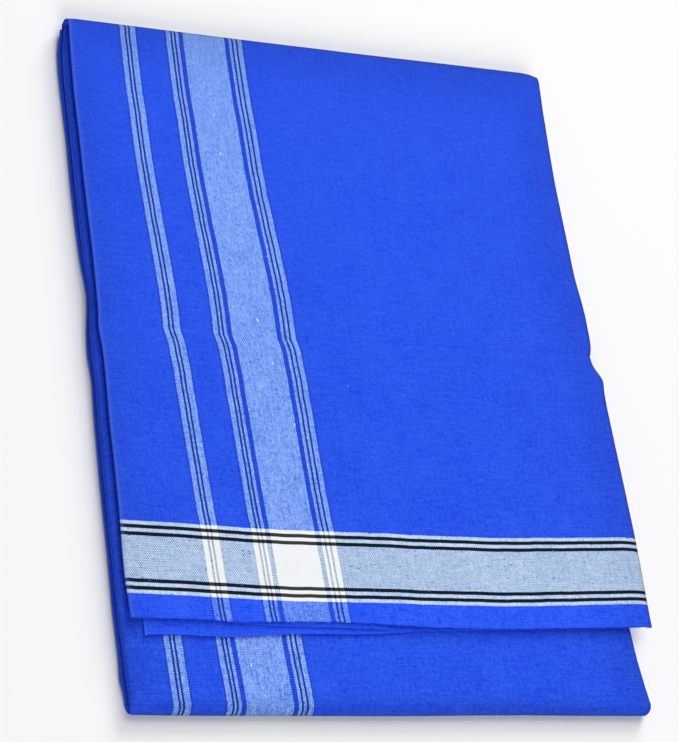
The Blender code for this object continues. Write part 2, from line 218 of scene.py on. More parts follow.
BACK_WRINKLES = [
    Wrinkle(*row)
    for row in (
        (80, 60, 70, 4.0, 0.22, 0.04), (210, 110, 90, 5.0, 0.3, -0.03), (120, 176, 60, 3.4, 0.2, 0.02),
        (150, 208, 290, 3.6, 0.4, 0.0), (230, 262, 70, 4.2, 0.24, 0.05), (70, 300, 60, 4.0, 0.2, -0.04),
        (190, 340, 100, 4.6, 0.26, 0.02),
    )
]


def smooth_read(rows: Rows, places: Array, blur: float = 2.5) -> Array:
    """Reads a table at many places, on a line without corners.

    Args:
        rows: (place, value) pairs in order of place.
        places: where to read it.
        blur: how far the corners are rounded, in mm.

    Returns:
        The value at each place.
    """
    table = np.array(rows, float)
    step = 0.5
    fine = np.arange(table[0, 0] - 20, table[-1, 0] + 20, step)
    values = np.interp(fine, table[:, 0], table[:, 1])
    reach = int(3 * blur / step)
    offsets = np.arange(-reach, reach + 1) * step
    kernel = np.exp(-0.5 * (offsets / blur) ** 2)
    padded = np.pad(values, reach, mode="edge")
    values = np.convolve(padded, kernel / kernel.sum(), mode="valid")
    return np.interp(places, fine, values)


def ease(share: Array) -> Array:
    """A smooth step from 0 to 1."""
    share = np.clip(share, 0.0, 1.0)
    return share * share * (3 - 2 * share)


def drift(places: Array, seed: int, period: float) -> Array:
    """A slow uneven wave, the same for the same seed.

    Args:
        places: where to read it.
        seed: of its random draws.
        period: of its longest part.

    Returns:
        A value between about -1 and 1 at each place.
    """
    draw = np.random.default_rng(seed)
    total = np.zeros_like(places, dtype=float)
    for share in (1.0, 0.55, 0.3):
        phase = draw.uniform(0, 2 * math.pi)
        total += share * np.sin(2 * math.pi * places / (period * share) + phase)
    return total / 1.85


def rim_share(angle: Array, whole: float) -> Array:
    """How far from the outline a point on a round edge is seen, as a share of the edge."""
    return (1 - np.cos(np.clip(angle, 0, whole))) / (1 - math.cos(whole))


def wrinkle_rise(wrinkles: Sequence[Wrinkle], across: Array, along: Array) -> Array:
    """The height that a set of wrinkles gives to each point.

    Args:
        wrinkles: the set.
        across: the points' places across the pack.
        along: and along it.

    Returns:
        The heights.
    """
    rise = np.zeros(np.broadcast(across, along).shape)
    for w in wrinkles:
        beside = (across - w.across) / (0.5 * w.length)
        off = (along - w.along - w.lean * (across - w.across)) / w.width
        rise += w.rise * np.exp(-(off**2) - beside**4)
    return rise


def old_fold(across: Array, along: Array) -> Array:
    """The old fold line: a narrow valley with a soft ridge on each side of it.

    Args:
        across: the points' places across the pack.
        along: and along it.

    Returns:
        The heights that it gives them.
    """
    off = along - smooth_read(CREASE_LINE, across, 4.0)
    strength = 0.75 + 0.25 * drift(across, 11, 120.0) + 0.5 * ease((across - 140) / 50)  # more at the right
    rise = -CREASE_DEPTH * np.exp(-np.abs(off / CREASE_WIDTH) ** 1.3)
    for place, width, ridge in CREASE_RIDGES:
        rise += ridge * np.exp(-(((off - place) / width) ** 2))
    return strength * rise


def to_frame(across: Array, along: Array, height: Array) -> Array:
    """Plan millimetres to the frame's metres, as an array with the three coordinates last."""
    across, along, height = np.broadcast_arrays(across, along, height)
    return np.stack([across - ORIGIN[0], along - ORIGIN[1], height], axis=-1) * MM


@dataclass
class Section:
    """The columns of a sheet, for each of its rows.

    flat is the distance across the cloth when it is opened out, across the place on the plan, and
    depth how far a point lies inside the sheet's outer face. pale is 1 on a worn or woven edge, and
    outline is the distance to the pack's outline, which sets the painted shade.
    """

    flat: Array
    across: Array
    depth: Array
    pale: Array
    outline: Array

    @staticmethod
    def of(*parts: Array | float) -> "Section":
        """A section from its parts, some of them the same for each point."""
        return Section(*np.broadcast_arrays(*parts))

    @staticmethod
    def join(*sections: "Section") -> "Section":
        """Sections side by side."""
        parts = zip(*(vars(section).values() for section in sections))
        return Section(*(np.concatenate(values, axis=1) for values in parts))

    def rows(self, start: int, end: int) -> "Section":
        """Some of its rows."""
        return Section(*(part[start:end] for part in vars(self).values()))


def fold_angles(tuck: float, seams: Array, offsets: Array) -> Array:
    """Places round a side fold, in degrees, closer together at a seam.

    Args:
        tuck: how far the fold curls past its outermost line.
        seams: where the seam lies in each row.
        offsets: of the places at the seam from it.

    Returns:
        The places, for each row.
    """
    low, high = seams + offsets[0], seams + offsets[-1]
    before = -tuck + (low + tuck)[:, None] * np.linspace(0, 1, 7)[None, :-1]
    after = high[:, None] + (90 - high)[:, None] * np.linspace(0, 1, 6)[None, 1:]
    return np.concatenate([before, seams[:, None] + offsets[None, :], after], axis=1)


def side_fold(side: Side, edge: Array, radius: Array, tuck: float, seams: Array) -> Section:
    """A rounded side fold, with a seam where two of its plies meet.

    Args:
        side: the pack's side that it lies on.
        edge: its outermost line, for each row.
        radius: its radius, for each row.
        tuck: how far it curls past its outermost line, in degrees.
        seams: where the seam lies in each row, in degrees above the outermost line.

    Returns:
        The section, from left to right.
    """
    degrees = fold_angles(tuck, seams, SEAM_OFFSETS)
    angle = np.radians(degrees)
    seam = SEAM_DEPTH * np.exp(-(((degrees - seams[:, None]) / 5.5) ** 2))
    bulge = 0.1 * np.cos(np.radians(degrees - seams[:, None]) * 3)
    inset = radius - (radius - seam - bulge) * np.cos(angle)
    depth = radius - (radius - seam) * np.sin(angle)
    run = radius - radius * (math.pi / 2 - angle)
    if side is Side.LEFT:
        return Section.of(edge + run, edge + inset, depth, 0.0, LEFT_AWAY)
    past = np.radians(degrees - RIM_START)
    away = RIM_DEPTH * rim_share(past, math.radians(90 - RIM_START)) + 2.0 * np.clip(-past, 0, 2)
    return Section.of(*(value[:, ::-1] for value in (edge - run, edge - inset, depth, 0 * run, away)))


def tucked_section(
    left: Array, right: Array, radius: Array, tucks: Couple, flats: Array, seams: dict[Side, Array]
) -> Section:
    """A face with a rounded fold at each side.

    Args:
        left: outermost line of the left fold, for each row.
        right: outermost line of the right fold.
        radius: radius of both folds.
        tucks: how far the left and right folds curl past their outermost line, in degrees.
        flats: where the face has its columns, as fractions of its width.
        seams: where the seam of each fold lies in each row, in degrees above its outermost line.

    Returns:
        The section, from the left tuck over the face to the right tuck.
    """
    left, right, radius = (value[:, None] for value in (left, right, radius))
    folds = [
        side_fold(side, edge, radius, tuck, seams[side])
        for side, edge, tuck in zip(Side, (left, right), tucks)
    ]
    face = left + radius + (right - left - 2 * radius) * flats[None, :]
    outline = np.minimum(LEFT_AWAY + face - left - radius, RIM_DEPTH + right - radius - face)
    return Section.join(folds[0], Section.of(face, face, 0.0, 0.0, outline), folds[1])


def doubled_section(
    left: Array, right: Array, under_right: Array, radius: float, spacing: float, wide: float
) -> Section:
    """Two plies that are joined by a fold at the left, and end at their woven edges at the right.

    Args:
        left: outermost line of the fold, for each row.
        right: the upper ply's right edge.
        under_right: the lower ply's right edge.
        radius: radius of the fold, which is half the distance between the plies.
        spacing: distance between the upper ply's columns.
        wide: distance between the lower ply's columns.

    Returns:
        The section, from the lower ply's right edge round the fold to the upper ply's right edge.
    """
    left, right, under_right = (value[:, None] for value in (left, right, under_right))
    count = max(3, int(float(np.mean(right - left)) / spacing))
    under = max(3, int(float(np.mean(under_right - left)) / wide))
    start = left + radius
    face = start + (right - left - radius) * np.linspace(0, 1, count)[None, 2:-1]
    face = np.concatenate([start + FOLD_COLUMNS, face, right - EDGE_COLUMNS], axis=1)
    low = start + (under_right - left - radius) * np.linspace(1, 0, under)[None, :-1]
    angle = np.radians(np.linspace(-90, 90, 9))[None, :]
    inset, depth = radius * (1 - np.cos(angle)), radius * (1 - np.sin(angle))
    worn = ease((np.degrees(angle) + 30) / 70)
    pale = np.exp(-(((face - start) / 1.1) ** 2))
    return Section.join(
        Section.of(start - radius * math.pi - (low - start), low, 2 * radius, 0.0, DOUBLED_AWAY),
        Section.of(start - radius * (math.pi / 2 - angle), left + inset, depth, worn, DOUBLED_AWAY),
        Section.of(face, face, 0.0, pale, np.minimum(DOUBLED_AWAY + face - left, right - face)),
    )


@dataclass
class Panel:
    """One ply as a grid: outer face, place on the opened cloth, pale edges and distance to the outline."""

    points: Array  # (rows, columns, 3), in the frame's metres
    uv: Array  # (rows, columns, 2), in metres of cloth
    pale: Array  # (rows, columns)
    outline: Array  # (rows, columns), in mm
    thickness: float = CLOTH


def place_object(name: str, data: bpy.types.ID) -> bpy.types.Object:
    """Puts a new object in the scene.

    Args:
        name: of the object.
        data: its mesh, lamp or camera.

    Returns:
        The object.
    """
    obj = bpy.data.objects.new(name, data)
    bpy.context.scene.collection.objects.link(obj)
    return obj


def cloth_object(
    name: str,
    material: bpy.types.Material,
    points: Array,
    faces: list[list[int]],
    uv: Array,
    pale: Array,
    outline: Array,
) -> bpy.types.Object:
    """A smooth object of cloth.

    Args:
        name: of the object.
        material: its cloth.
        points: in the frame's metres.
        faces: as numbers of points.
        uv: each point's place on the opened cloth.
        pale: 1 where a point lies on a worn or woven edge.
        outline: each point's distance to the pack's outline, in mm.

    Returns:
        The object, in the scene.
    """
    mesh = bpy.data.meshes.new(name)
    mesh.from_pydata(points.tolist(), [], faces)
    corners = np.empty(len(mesh.loops), np.int32)
    mesh.loops.foreach_get("vertex_index", corners)
    layer = mesh.uv_layers.new(name=UV_NAME)
    layer.uv.foreach_set("vector", uv[corners].astype(np.float32).reshape(-1))
    for attribute_name, values in ((PALE_NAME, pale), (OUTLINE_NAME, outline)):
        attribute = mesh.attributes.new(attribute_name, "FLOAT", "POINT")
        attribute.data.foreach_set("value", values.astype(np.float32))
    mesh.shade_smooth()
    mesh.materials.append(material)
    mesh.update()
    return place_object(name, mesh)


class ShellMaker:
    """Turns panels into one closed thin shell each, all in one object."""

    def __init__(self, name: str, material: bpy.types.Material) -> None:
        """Starts with no shells.

        Args:
            name: of the object.
            material: its cloth.
        """
        self.name = name
        self.material = material
        self.shells: list[tuple[Array, Array, Array, Array]] = []
        self.faces: list[Array] = []
        self.count = 0

    @staticmethod
    def normals(points: Array) -> Array:
        """Unit normals of a grid, from its neighbours along both ways."""
        normal = np.cross(np.gradient(points, axis=1), np.gradient(points, axis=0))
        return normal / np.maximum(np.linalg.norm(normal, axis=-1, keepdims=True), 1e-12)

    def add(self, panel: Panel) -> None:
        """Adds a panel as a shell with an outer face, an inner face and a rim.

        Args:
            panel: the ply.
        """
        rows, columns = panel.points.shape[:2]
        inner = panel.points - self.normals(panel.points) * panel.thickness * MM
        index = np.arange(rows * columns).reshape(rows, columns)
        corners = [index[:-1, :-1], index[:-1, 1:], index[1:, 1:], index[1:, :-1]]
        outer_faces = np.stack(corners, axis=-1).reshape(-1, 4)
        other = rows * columns
        rim = np.concatenate([index[0, :], index[1:, -1], index[-1, -2::-1], index[-2:0:-1, 0]])
        after = np.roll(rim, -1)
        rim_faces = np.stack([after, rim, rim + other, after + other], axis=-1)
        self.faces.append(np.concatenate([outer_faces, outer_faces[:, ::-1] + other, rim_faces]) + self.count)
        points = np.concatenate([panel.points.reshape(-1, 3), inner.reshape(-1, 3)])
        uv = np.tile(panel.uv.reshape(-1, 2), (2, 1))
        pale, outline = (np.tile(values.reshape(-1), 2) for values in (panel.pale, panel.outline))
        self.shells.append((points, uv, pale, outline))
        self.count += 2 * other

    def make(self) -> bpy.types.Object:
        """Makes the object of all the shells.

        Returns:
            The object, in the scene.
        """
        points, uv, pale, outline = (np.concatenate(values) for values in zip(*self.shells))
        faces = np.concatenate(self.faces).tolist()
        return cloth_object(self.name, self.material, points, faces, uv, pale, outline)


class Wire:
    """A value in a node tree, which sums can be written with."""

    def __init__(self, desk: "NodeDesk", socket: bpy.types.NodeSocket) -> None:
        """Holds a node's output and the desk that it lies on."""
        self.desk = desk
        self.socket = socket

    def beside(self, output: int | str) -> "Wire":
        """Another output of the same node."""
        return Wire(self.desk, self.socket.node.outputs[output])

    def __add__(self, other: object) -> "Wire":
        """The sum."""
        return self.desk.math("ADD", self, other)

    def __sub__(self, other: object) -> "Wire":
        """The difference."""
        return self.desk.math("SUBTRACT", self, other)

    def __mul__(self, other: object) -> "Wire":
        """The product."""
        return self.desk.math("MULTIPLY", self, other)

    def __truediv__(self, other: object) -> "Wire":
        """The quotient."""
        return self.desk.math("DIVIDE", self, other)

    def __pow__(self, other: object) -> "Wire":
        """The power."""
        return self.desk.math("POWER", self, other)


class NodeDesk:
    """Lays nodes in one tree with short calls."""

    def __init__(self, tree: bpy.types.NodeTree) -> None:
        """Works in one node tree."""
        self.tree = tree

    def plug(self, socket: bpy.types.NodeSocket, value: object) -> None:
        """Links a socket, or sets it to a plain value.

        Args:
            socket: the input.
            value: a wire, a colour without its alpha, or what the socket takes.
        """
        if isinstance(value, Wire):
            self.tree.links.new(value.socket, socket)
        elif isinstance(value, tuple) and len(value) == 3 and socket.type == "RGBA":
            socket.default_value = (*value, 1.0)
        else:
            socket.default_value = value

    def node(self, kind: str, *values: object, out: int | str = 0, **named: object) -> Wire:
        """Lays one node.

        Args:
            kind: the node's type.
            values: what goes into its first inputs.
            out: the output that is wanted.
            named: an input where the name has a capital letter, and else a setting of the node.

        Returns:
            The output.
        """
        made = self.tree.nodes.new(kind)
        for name, value in named.items():
            if name[0].islower():
                setattr(made, name, value)
        for name, value in named.items():
            if name[0].isupper():
                self.plug(made.inputs[name.replace("_", " ")], value)
        for socket, value in zip(made.inputs, values):
            self.plug(socket, value)
        return Wire(self, made.outputs[out])

    def math(self, operation: str, *values: object, clamp: bool = False) -> Wire:
        """One Math node."""
        return self.node("ShaderNodeMath", *values, operation=operation, use_clamp=clamp)

    def mix(self, share: object, first: object, second: object) -> Wire:
        """A colour between two, as a plain mix.

        Args:
            share: how much of the second.
            first: the first colour.
            second: the second colour.

        Returns:
            The mixed colour.
        """
        mixed = self.node("ShaderNodeMix", share, data_type="RGBA", out=2)
        for port, value in ((6, first), (7, second)):
            self.plug(mixed.socket.node.inputs[port], value)
        return mixed

    def shade(self, colour: object, factor: object) -> Wire:
        """A colour made lighter or darker by a factor."""
        return self.node("ShaderNodeVectorMath", colour, factor, operation="MULTIPLY")

    def tone(self, colour: object, amount: object, weights: object) -> Wire:
        """A colour with each channel made stronger by its weight times an amount."""
        factor = self.node("ShaderNodeVectorMath", weights, amount, (1.0, 1.0, 1.0), operation="MULTIPLY_ADD")
        return self.shade(colour, factor)

    def scatter(self, vector: object, cell: float) -> tuple[Wire, Wire]:
        """Scattered points, one for each cell: the distance to the nearest, and a random value of its own."""
        distance = self.node("ShaderNodeTexVoronoi", vector, Scale=1 / cell)
        return distance * cell, self.node("ShaderNodeSeparateColor", distance.beside("Color"))

    def random(self, vector: object) -> Wire:
        """A random value around 0 for each place, from -0.5 to 0.5."""
        return self.node("ShaderNodeTexWhiteNoise", vector, out="Value") - 0.5

    def point(self, x: object, y: object, z: object = 0.0) -> Wire:
        """A vector from its three parts."""
        return self.node("ShaderNodeCombineXYZ", x, y, z)

    def noise(self, vector: object, scale: float, detail: float = 2.0) -> Wire:
        """Noise around 0, from about -0.5 to 0.5."""
        return self.node("ShaderNodeTexNoise", vector, Scale=scale, Detail=detail, out="Fac") - 0.5

    def bars(self, place: object, bars: Rows) -> Wire:
        """Marks the bars of a pattern.

        Args:
            place: where to look.
            bars: the start and the end of each.

        Returns:
            1 inside any of the bars, and else 0.
        """
        total: object = 0.0
        for start, end in bars:
            inside = self.math("COMPARE", place, (start + end) / 2, (end - start) / 2)
            total = self.math("MAXIMUM", inside, total)
        return total


def new_material(
    name: str, roughness: float, specular: float
) -> tuple[bpy.types.Material, NodeDesk, bpy.types.Node]:
    """Starts a material.

    Args:
        name: of the material.
        roughness: of its surface.
        specular: how much it shines.

    Returns:
        The material, a desk for its nodes, and its shader.
    """
    material = bpy.data.materials.new(name)
    material.use_nodes = True
    shader = material.node_tree.nodes["Principled BSDF"]
    shader.inputs["Roughness"].default_value = roughness
    shader.inputs["Specular IOR Level"].default_value = specular
    return material, NodeDesk(material.node_tree), shader


@dataclass(frozen=True)
class ClothFinish:
    """Plain woven cotton: blue, with white stripes in the warp and a white and navy band in the weft.

    Where two yarns cross, the one on top gives the colour, tinted by the one under it. Each crossing
    has a colour for the warp on top and one for the weft on top. Places across and along the cloth
    are in mm. Light on the end strip and shade near the pack's outline are painted into the colour.
    """

    name: str = "striped_cotton"
    light: float = 1.0  # painted light: lightens or darkens all of the cloth
    warp_pitch: float = 0.55  # between threads
    weft_pitch: float = 0.66
    sway: float = 0.7  # of a thread to both sides
    blue: Pair = ((0.0165, 0.076, 0.775), (0.0205, 0.091, 0.815))
    deep: Pair = ((0.004, 0.022, 0.23), (0.008, 0.044, 0.42))  # the thin dark lines inside a stripe
    pale: Pair = ((0.29, 0.49, 0.935), (0.08, 0.185, 0.84))  # white warp and blue weft
    grey: Pair = ((0.145, 0.265, 0.575), (0.655, 0.785, 0.925))  # blue warp and white weft
    thin: Pair = ((0.20, 0.29, 0.40), (0.60, 0.70, 0.76))  # a dark line and white weft
    white: Pair = ((0.83, 0.855, 0.87), (0.875, 0.89, 0.92))
    navy: Pair = ((0.002, 0.012, 0.045), (0.001, 0.004, 0.015))  # blue warp and navy weft
    brown: Pair = ((0.12, 0.11, 0.105), (0.003, 0.004, 0.008))  # white warp and navy weft
    worn: Rgb = (0.13, 0.25, 0.80)  # of a worn or woven edge
    worn_share: float = 0.22
    stripes: Rows = (
        (0.0, 2.75), (3.85, 4.95), (6.05, 9.35), (28.05, 30.8), (31.9, 33.0), (34.1, 35.75), (38.5, 64.35),
        (67.1, 68.75), (69.85, 71.5), (72.6, 75.35),
    )
    dark_lines: Rows = ((2.75, 3.85), (4.95, 6.05), (30.8, 31.9), (33.0, 34.1), (68.75, 69.85), (71.5, 72.6))
    gaps: Rows = ((-1.1, 0.0), (9.35, 10.45), (26.95, 28.05), (35.75, 38.5), (64.35, 67.1), (75.35, 76.45))
    gap_depth: float = 0.38  # of a dark line
    white_band: Rows = ((57.5, 96.3),)
    navy_lines: Rows = ((59.5, 61.3), (63.4, 65.2), (88.5, 90.3), (92.5, 94.3))
    bright_band: Rows = ((57.5, 65.4), (88.4, 96.3))  # more of the white weft shows
    bright_share: float = 0.38
    end_strip: Rows = ((-9.0, 57.6),)  # painted light: a little brighter than the rest
    end_strip_painted_light: float = 1.12
    strip_tone: Rgb = (-0.40, -0.34, -0.08)  # of its stripes
    uneven_blue: Rgb = (2.1, 1.6, 0.75)  # how much uneven yarn shows, where the weft is blue
    uneven_pale: Rgb = (2.3, 1.3, 0.36)
    uneven_grey: Rgb = (1.1, 0.9, 0.6)  # and where it is white
    uneven_white: Rgb = (0.12, 0.12, 0.12)
    # painted shade, deepest on the pack's outline and on its very edge:
    painted_shade_steps: Rows = ((55.0, -0.03), (20.0, -0.16))  # (width, how much the painted shade darkens the outline)
    painted_shade_in_band: float = 0.5
    painted_rim_shade_width: float = 1.5
    painted_rim_shade: Rgb = (-0.16, -0.3, -0.45)

    def make(self) -> bpy.types.Material:
        """Makes the material.

        Returns:
            The material.
        """
        material, desk, shader = new_material(self.name, 0.9, 0.1)
        shader.inputs["Sheen Weight"].default_value = 0.025
        shader.inputs["Sheen Roughness"].default_value = 0.6
        place = desk.node("ShaderNodeSeparateXYZ", desk.node("ShaderNodeUVMap", uv_map=UV_NAME))
        u, v = place * (1 / MM), place.beside(1) * (1 / MM)
        u_thread, v_thread = self.threads(u, v)
        weave = desk.math("SINE", u_thread * math.pi) * desk.math("SINE", v_thread * math.pi)
        warp, weft = desk.math("FLOOR", u_thread), desk.math("FLOOR", v_thread)
        warp_at, weft_at = (warp + 0.5) * self.warp_pitch, (weft + 0.5) * self.weft_pitch
        striped, banded = desk.bars(warp_at, self.stripes), desk.bars(weft_at, self.white_band)
        lined = desk.bars(warp_at, self.gaps) * self.gap_depth + desk.bars(warp_at, self.dark_lines)
        navy, strip = desk.bars(weft_at, self.navy_lines), desk.bars(weft_at, self.end_strip)
        over = desk.math("MULTIPLY_ADD", weave, 3.0, 0.5, clamp=True)
        over = over * (desk.bars(weft_at, self.bright_band) * -self.bright_share + 1.0)
        colour = self.crossing(over, striped, banded, lined, navy)
        unevenness = self.unevenness(u, v, warp, weft, v_thread, striped)
        # painted light: the end strip, and all of the cloth by its light factor
        colour = desk.shade(colour, strip * (self.light * (self.end_strip_painted_light - 1)) + self.light)
        on_blue = desk.mix(striped, self.uneven_pale, self.uneven_blue)
        on_white = desk.mix(striped, self.uneven_grey, self.uneven_white)
        colour = desk.tone(colour, unevenness, desk.mix(banded, on_blue, on_white))
        colour = desk.tone(colour, strip * striped, self.strip_tone)
        # painted shade near the pack's outline
        colour = self.outline(self.slubs(colour, u, v, striped, banded), banded)
        edge = desk.node("ShaderNodeAttribute", attribute_name=PALE_NAME, out="Fac")
        desk.plug(shader.inputs["Base Color"], desk.mix(edge * self.worn_share, colour, self.worn))
        height = unevenness * 0.8 + desk.math("ABSOLUTE", weave)
        bump = desk.node("ShaderNodeBump", Strength=0.5, Distance=0.1 * MM, Height=height)
        desk.plug(shader.inputs["Normal"], bump)
        return material

    def threads(self, u: Wire, v: Wire) -> tuple[Wire, Wire]:
        """Counts a place on the cloth in threads, which waver a little.

        Args:
            u: the place across the cloth.
            v: the place along it.

        Returns:
            The place in warp threads and in weft threads.
        """
        desk = u.desk
        aside = desk.noise(desk.point(u * 0.02, v), 0.09) * self.sway
        up = desk.noise(desk.point(u, v * 0.02, 7.0), 0.07) * self.sway
        return (aside + u) / self.warp_pitch, (up + v) / self.weft_pitch

    def crossing(self, over: Wire, striped: Wire, banded: Wire, lined: Wire, navy: Wire) -> Wire:
        """The colour of the yarn on top.

        Args:
            over: 1 where the warp is on top.
            striped: 1 where the warp is white.
            banded: 1 where the weft is white or navy.
            lined: 1 where the warp is a dark line.
            navy: 1 where the weft is navy.

        Returns:
            The colour.
        """
        mix = over.desk.mix

        def top(yarn: int) -> Wire:
            """The colour with one yarn on top.

            Args:
                yarn: 0 for the warp, 1 for the weft.

            Returns:
                The colour.
            """
            plain = mix(striped, mix(lined, self.blue[yarn], self.deep[yarn]), self.pale[yarn])
            band = mix(striped, mix(lined, self.grey[yarn], self.thin[yarn]), self.white[yarn])
            return mix(navy, mix(banded, plain, band), mix(striped, self.navy[yarn], self.brown[yarn]))

        return mix(over, top(1), top(0))

    @staticmethod
    def unevenness(u: Wire, v: Wire, warp: Wire, weft: Wire, v_thread: Wire, striped: Wire) -> Wire:
        """Uneven yarn around 0: streaks along single threads, thick and thin places, ribs and broad patches.

        Args:
            u: the place across the cloth.
            v: the place along it.
            warp: the number of the warp thread.
            weft: the number of the weft thread.
            v_thread: the place along the cloth, counted in threads.
            striped: 1 where the warp is white.

        Returns:
            The unevenness.
        """
        desk = u.desk
        noise, point = desk.noise, desk.point
        zone = desk.math("MULTIPLY_ADD", noise(point(u, v, 17.0), 0.035), 0.4, 0.05, clamp=True)
        ribs = desk.math("SINE", v_thread * math.pi) * zone
        long_weft = noise(point(u * 0.09, weft * 0.61), 1.0, 3.0)
        long_warp = noise(point(warp * 0.57, v * 0.07, 3.0), 1.0, 3.0)
        short_warp = noise(point(warp * 0.7, v * 0.45, 13.0), 1.0)
        thick_weft = (noise(point(u * 0.02, weft * 0.37, 23.0), 1.0, 1.0) * 2.6) ** 3.0
        thick_warp = (noise(point(warp * 0.39, v * 0.02, 29.0), 1.0, 1.0) * 2.6) ** 3.0
        in_weft = (long_weft * 0.5 + ribs) * (striped * -0.6 + 1.0) + thick_weft * 0.14
        in_warp = (short_warp * 0.42 + long_warp * 0.4) * (striped * 0.5 + 1.0) + thick_warp * 0.1
        grain, patch = noise(point(u, v, 5.0), 0.42), noise(point(u, v, 9.0), 0.05, 3.0)
        total = in_weft + in_warp + grain * 0.42 + desk.random(point(warp, weft)) * 0.2 + patch * 0.22
        return total * desk.math("MINIMUM", v * -0.0016 + 1.3, 1.25)

    @staticmethod
    def slubs(colour: Wire, u: Wire, v: Wire, striped: Wire, banded: Wire) -> Wire:
        """Pale slubs, mostly on the white warp, dark specks in the grey of the band, and a few elsewhere.

        Args:
            colour: the colour so far.
            u: the place across the cloth.
            v: the place along it.
            striped: 1 where the warp is white.
            banded: 1 where the weft is white.

        Returns:
            The colour with the slubs.
        """
        desk = colour.desk
        plain = desk.math("SUBTRACT", 1.0, banded)
        grey = desk.math("SUBTRACT", banded, striped, clamp=True)
        on_stripes = striped * plain
        for seed, cell, stretch, radius, common, where, tint in (
            (1.0, 3.2, (1.0, 0.45), 0.6, 0.24, on_stripes, (0.72, 0.88, 0.98)),
            (2.0, 1.6, (1.0, 0.4), 0.42, 0.35, on_stripes, (0.05, 0.16, 0.85)),
            (3.0, 5.0, (0.45, 1.0), 0.5, 0.25, plain, (0.10, 0.24, 0.95)),
            (4.0, 2.6, (0.6, 1.0), 0.5, 0.3, plain, (0.007, 0.045, 0.60)),
            (5.0, 1.5, (0.42, 1.0), 0.5, 0.5, grey, (0.06, 0.12, 0.33)),
        ):
            distance, chance = desk.scatter(desk.point(u * stretch[0], v * stretch[1], seed * 40), cell)
            size = (chance - (1 - common)) * (radius / common)
            share = desk.math("MULTIPLY", size - distance, 4.0, clamp=True)
            colour = desk.mix(share * 0.85 * where, colour, tint)
        return colour

    def outline(self, colour: Wire, banded: Wire) -> Wire:
        """Paints shade into the colour near the pack's outline, less so in the band, and most on its very
        edge.

        Args:
            colour: the colour so far.
            banded: 1 where the weft is white.

        Returns:
            The colour with the painted shade.
        """
        desk = colour.desk
        away = desk.node("ShaderNodeAttribute", attribute_name=OUTLINE_NAME, out="Fac")

        def near(width: float) -> Wire:
            """1 on the outline, falling away over a width."""
            return desk.math("EXPONENT", (away / width) ** 2.0 * -1.0)

        (far, less), (wide, much) = self.painted_shade_steps
        depth = near(far) * less + near(wide) * much
        colour = desk.shade(colour, depth * (banded * -self.painted_shade_in_band + 1.0) + 1.0)
        return desk.tone(colour, near(self.painted_rim_shade_width), self.painted_rim_shade)


@dataclass(frozen=True)
class FloorFinish:
    """A matt pale floor."""

    colour: Rgb = (0.9, 0.9, 0.9)

    def make(self) -> bpy.types.Material:
        """Makes the material.

        Returns:
            The material.
        """
        material, desk, shader = new_material("pale_floor", 0.95, 0.0)
        desk.plug(shader.inputs["Base Color"], self.colour)
        return material


def declare(
    obj: bpy.types.Object,
    node: str,
    flat: Couple,
    rests_on: Sequence[str],
) -> None:
    """Hangs a piece of cloth on the body, hides the solid that it stands for and logs its faces and cut.

    Args:
        obj: the piece.
        node: the solid that it stands for.
        flat: width and length of its cut, in metres.
        rests_on: names of the pieces under it; not used.
    """
    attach(obj, BODY)
    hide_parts(node)
    "inner_cotton" if node == "hidden_layers" else "striped_cotton"
    list(rests_on)
    log.info("%s: %d faces, cut %.3f by %.3f m", obj.name, len(obj.data.polygons), *flat)


@dataclass(frozen=True)
class YarnFinish:
    """Loose cotton yarn, blue or white by the attribute that its maker sets."""

    name: str = "loose_yarn"
    blue: Rgb = (0.020, 0.095, 0.84)
    white: Rgb = (0.5, 0.66, 0.94)
    uneven: Rgb = (0.9, 0.7, 0.4)

    def make(self) -> bpy.types.Material:
        """Makes the material.

        Returns:
            The material.
        """
        material, desk, shader = new_material(self.name, 0.92, 0.1)
        kind = desk.node("ShaderNodeAttribute", attribute_name=WHITE_YARN, out="Fac")
        unevenness = desk.noise(desk.node("ShaderNodeTexCoord", out="Object"), 900.0)
        colour = desk.tone(desk.mix(kind, self.blue, self.white), unevenness, self.uneven)
        desk.plug(shader.inputs["Base Color"], colour)
        return material


